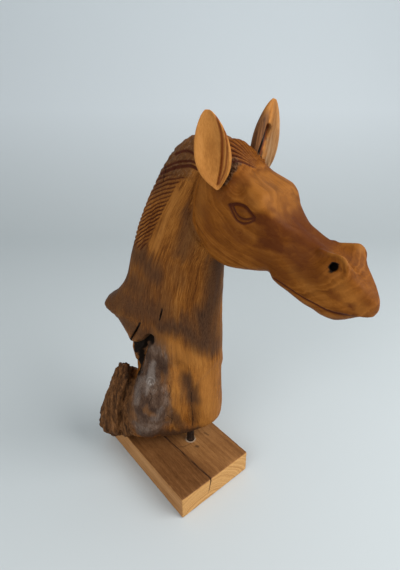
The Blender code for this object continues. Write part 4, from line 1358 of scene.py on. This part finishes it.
def rod_mesh():
    """The rod, with its ends eased and the faint waves of a hand-cut bar."""
    foot, top = PLANK_THICKNESS - ROD_DEPTH_IN_PLANK, PLANK_THICKNESS + ROD_HEIGHT_OVER_PLANK
    turns = [2 * math.pi * i / ROD_CORNERS for i in range(ROD_CORNERS)]
    rings = []
    for z in np.linspace(foot, top, ROD_LEVELS):
        ease = ROD_END_EASE * (z in (foot, top))
        ring = []
        for a in turns:
            wear = ROD_WEAR * noise.noise(Vector((math.cos(a) * 3, math.sin(a) * 3, z * 400)))
            radius = ROD_DIAMETER / 2 - ease - abs(wear)
            ring.append((ROD_X + radius * math.cos(a), ROD_Y + radius * math.sin(a), z))
        rings.append(ring)
    bm = bmesh.new()
    loft(bm, rings)
    return mesh_from(bm, "rod")


def rod_hole():
    """The room for the rod in plank and figure."""
    room = ROD_DIAMETER / 2 + SEAT_GAP
    return cylinder(room, PLANK_THICKNESS - ROD_DEPTH_IN_PLANK - SEAT_GAP,
                    PLANK_THICKNESS + ROD_HEIGHT_OVER_PLANK + SEAT_GAP)


def split_mesh():
    """The plank's drying split: a wavy wedge, deepest at the plank's end."""
    top = PLANK_THICKNESS + SPLIT_OVERRUN
    bm = bmesh.new()
    rings = []
    for t in np.linspace(0, 1, 30):
        x = PLANK_LENGTH / 2 + SPLIT_OVERRUN - t * (SPLIT_LENGTH + SPLIT_OVERRUN)
        wander = SPLIT_WANDER * noise.noise((x * 60, 2.0, 0.0))
        y = SPLIT_Y_AT_END + (SPLIT_Y_INSIDE - SPLIT_Y_AT_END) * t + wander
        depth = SPLIT_DEPTH_AT_END + (SPLIT_DEPTH_INSIDE - SPLIT_DEPTH_AT_END) * t
        widen = SPLIT_WIDTH * (1 - t / 2) * (1 + SPLIT_OVERRUN / depth) / 2
        lean = SPLIT_LEAN * depth / SPLIT_DEPTH_AT_END
        rings.append([(x, y - widen, top), (x, y + widen, top), (x, y + lean, PLANK_THICKNESS - depth)])
    loft(bm, rings)
    return mesh_from(bm, "split")


def plank_mesh():
    """The sawn board, with raised grain, soft edges, its split and the rod's hole."""
    bm = bmesh.new()
    size = Matrix.Diagonal((PLANK_LENGTH, PLANK_WIDTH, PLANK_THICKNESS, 1))
    bmesh.ops.create_cube(bm, size=1, matrix=Matrix.Translation((0, 0, PLANK_THICKNESS / 2)) @ size)
    bmesh.ops.bevel(bm, geom=bm.edges[:], offset=PLANK_EDGE_ROUND, segments=4, profile=0.5, affect="EDGES")
    board = one_skin(mesh_from(bm, "board"), PLANK_VOXEL, 1)

    def sawn(points, normals):
        grain = points[:, [1, 2, 0]] * 1000
        ridges = relief_of(grain, SAWN_RIDGES, 31) + relief_of(grain, SAWN_WAVES, 32)
        edge = edge_share(points)
        worn = PLANK_WEAR * edge * (0.35 + np.maximum(ragged(points * 1000, (6, 6, 3), 33), 0))
        return ridges * (1 - edge) * (normals[:, 2] > -0.5) - worn

    return less(pushed(board, sawn), split_mesh(), rod_hole())


def edge_share(points):
    """1 on the plank's edges, fading to 0 on its faces."""
    gaps = np.sort(
        np.stack([
            PLANK_LENGTH / 2 - abs(points[:, 0]),
            PLANK_WIDTH / 2 - abs(points[:, 1]),
            PLANK_THICKNESS / 2 - abs(points[:, 2] - PLANK_THICKNESS / 2),
        ]),
        axis=0,
    )
    return bump(np.maximum(gaps[1], 0), PLANK_WEAR_REACH)


def paint_plank(mesh):
    """What the plank's material needs to know of each point."""
    points = in_figure(mesh) * UNIT + (0, 0, PLANK_THICKNESS)
    in_mm = points * 1000
    paint(mesh, "fibre", in_mm[:, [1, 2, 0]])
    paint(mesh, "rings", np.hypot(in_mm[:, 1] - PLANK_HEART[0], in_mm[:, 2] - PLANK_HEART[1]))
    paint(mesh, "top", smooth_step(in_mm[:, 2], PLANK_THICKNESS * 1000 - 1.2, PLANK_THICKNESS * 1000 - 0.3))
    paint(mesh, "end", smooth_step(abs(in_mm[:, 0]), PLANK_LENGTH * 500 - 1.0, PLANK_LENGTH * 500 - 0.4))
    flat = in_mm[:, :2]
    # The top's half near the burl is darker, partly stain and partly painted shade of the figure
    paint(mesh, "less_stained_and_shaded", smooth_step(in_mm[:, 1] + 4 * ragged(in_mm, (40, 12, 12), 36), *STAINED_AND_SHADED_HALF_EDGE))
    # Dark stains and painted shade under the figure's overhang
    paint(mesh, "stain_and_shade", deepest_of(flat + 1.2 * ragged(in_mm, (3, 3, 3), 34)[:, None], PLANK_STAINS_AND_SHADE))
    ring = abs(np.linalg.norm(flat - np.array([ROD_X, ROD_Y]) * 1000, axis=1) - ROD_DIAMETER * 500 - 1.0)
    paint(mesh, "glue", bump(ring, 1.6) * smooth_step(ragged(in_mm, (4, 4, 4), 35), -0.4, 0.2))
    split_y = np.interp(
        points[:, 0], [PLANK_LENGTH / 2 - SPLIT_LENGTH, PLANK_LENGTH / 2], [SPLIT_Y_INSIDE, SPLIT_Y_AT_END]
    )
    lean = SPLIT_LEAN * (PLANK_THICKNESS - points[:, 2]) / SPLIT_DEPTH_AT_END
    beside = abs(points[:, 1] - split_y - lean) * 1000
    deep = smooth_step(points[:, 0], PLANK_LENGTH / 2 - SPLIT_LENGTH, PLANK_LENGTH / 2 - SPLIT_LENGTH + 0.006)
    # Painted shade in and along the split
    paint(mesh, "dark", bump(beside, 0.8) * deep * smooth_step(points[:, 2], 0.010, 0.014))


def ear_piece_mesh(ear, seat):
    """One ear in fine detail, fitted to the head."""
    bm = bmesh.new()
    loft(bm, ear_rings(ear, 60))
    whole = pushed(one_skin(mesh_from(bm, "ear"), EAR_VOXEL, 8), ear_carving(ear))
    foot, _length, axes = ear_axes(ear)

    def fine(points, _normals):
        place = (points - foot) @ axes.T
        grain = place[:, [0, 2, 1]]
        return relief_of(grain, EAR_GRAIN, 41) + relief_of(grain, EAR_WAVES, 42)

    return less(placed(pushed(whole, fine)), seat, rough=True)


def paint_ear(mesh, ear):
    """What an ear's material needs to know of each point."""
    foot, length, axes = ear_axes(ear)
    place = (in_figure(mesh) - foot) @ axes.T
    paint(mesh, "fibre", place[:, [0, 2, 1]])
    # Painted shade in the ear's grooves
    paint(mesh, "lines", np.clip(deepest_of(place[:, :2], ear["grooves"]) / 1.8, 0, 1))
    share = place[:, 1] / length
    across = place[:, 0] / ear["half_width"]
    wobble = 0.2 * ragged(place, (4, 4, 12), 43)
    brown = smooth_step(-across + wobble, -0.05, 0.3) * smooth_step(0.92 - share, 0, 0.2)
    paint(mesh, "brown", 0.95 * brown)
    paint(mesh, "weathered", smooth_step(across + wobble, -0.1, 0.25) * (1 - 0.7 * share))
    slit_shade = bump(distance_to(place[:, :2], open_curve(ear["grooves"][0][0])), EAR_SLIT_REACH)
    paint(mesh, "slit_shade", slit_shade * (place[:, 2] > -ear["depth"] / 2))


def figure_piece_mesh():
    """The carved figure in fine detail, before its holes are made."""
    skin = pushed(rough_figure(FIGURE_VOXEL), fine_carving)
    return placed(thinned(skin, FIGURE_TRIANGLES))


def sweep_mesh():
    """A floor that curves up into a wall behind the sculpture, seen from the photograph's side."""
    bm = bmesh.new()
    profile = [(-FLOOR_REACH, 0.0), (WALL_DISTANCE - WALL_SWEEP, 0.0)]
    for k in range(1, 25):
        angle = math.pi / 2 * k / 24
        profile.append((
            WALL_DISTANCE - WALL_SWEEP + WALL_SWEEP * math.sin(angle), WALL_SWEEP * (1 - math.cos(angle))
        ))
    profile.append((WALL_DISTANCE, WALL_HEIGHT))
    ahead, aside = direction(CAMERA_HEADING + 90)
    rows = []
    for side in (-FLOOR_REACH, FLOOR_REACH):
        rows.append([bm.verts.new((*(ahead * far + aside * side), up)) for far, up in profile])
    for k in range(len(profile) - 1):
        bm.faces.new((rows[0][k], rows[0][k + 1], rows[1][k + 1], rows[1][k]))
    mesh = bpy.data.meshes.new("studio_floor")
    bm.to_mesh(mesh)
    bm.free()
    mesh.shade_smooth()
    return mesh


def studio():
    """Floor and wall, soft lamps and the sky."""
    floor = bpy.data.objects.new("studio_floor", sweep_mesh())
    floor.data.materials.append(studio_look())
    bpy.context.scene.collection.objects.link(floor)
    for name, heading, angle, power in (
        ("key_lamp", LAMP_HEADING, LAMP_HEIGHT_ANGLE, LAMP_POWER),
        ("fill_lamp", FILL_HEADING, FILL_HEIGHT_ANGLE, FILL_POWER),
    ):
        lamp = bpy.data.lights.new(name, "AREA")
        lamp.shape = "DISK"
        lamp.size = LAMP_SIZE
        lamp.energy = power
        flat = direction(heading)[0] * math.cos(math.radians(angle))
        way = Vector((*flat, math.sin(math.radians(angle))))
        obj = bpy.data.objects.new(name, lamp)
        obj.location = way * LAMP_DISTANCE + Vector((0, 0, FIGURE_HEIGHT / 2))
        obj.rotation_euler = way.to_track_quat("Z", "Y").to_euler()
        bpy.context.scene.collection.objects.link(obj)
    world = bpy.data.worlds.new("sky")
    world.use_nodes = True
    world.node_tree.nodes["Background"].inputs["Color"].default_value = (*SKY, 1)
    world.node_tree.nodes["Background"].inputs["Strength"].default_value = SKY_STRENGTH
    bpy.context.scene.world = world
    bpy.context.scene.view_settings.view_transform = "Standard"


def camera():
    """The photograph's camera."""
    data = bpy.data.cameras.new("camera")
    data.sensor_width = SENSOR
    data.lens = SENSOR * FOCAL_LENGTH_IN_PIXELS / PHOTO_HEIGHT
    data.shift_y = CENTRE_BELOW_MIDDLE_IN_PIXELS / PHOTO_HEIGHT
    data.clip_start = 0.01
    obj = bpy.data.objects.new("camera", data)
    obj.location = CAMERA_PLACE
    obj.rotation_euler = (math.radians(90 - CAMERA_DOWN), 0, math.radians(CAMERA_HEADING))
    bpy.context.scene.collection.objects.link(obj)
    bpy.context.scene.camera = obj


def main():
    """Camera, studio and the five pieces."""
    camera()
    studio()

    figure = figure_piece_mesh()
    seat = pushed(thinned(figure, SEAT_TRIANGLES), lambda points, _normals: np.full(len(points), SEAT_GAP))
    figure = less(figure, rod_hole(), nostril_mesh("right", -1), nostril_mesh("left", 1))
    paint_figure(figure)
    piece("horse_head_carved", figure, driftwood_look(), "horse_head")
    for name, ear, node, aged in (
        ("ear_right_carved", RIGHT_EAR, "ear_right", False), ("ear_left_carved", LEFT_EAR, "ear_left", True),
    ):
        mesh = ear_piece_mesh(ear, seat.copy())
        paint_ear(mesh, ear)
        piece(name, mesh, ear_look(f"{name}_wood", aged), node)
    board = plank_mesh()
    paint_plank(board)
    piece("plank_sawn", board, plank_look(), "plank")
    piece("rod_steel", rod_mesh(), steel_look(), "rod")


main()
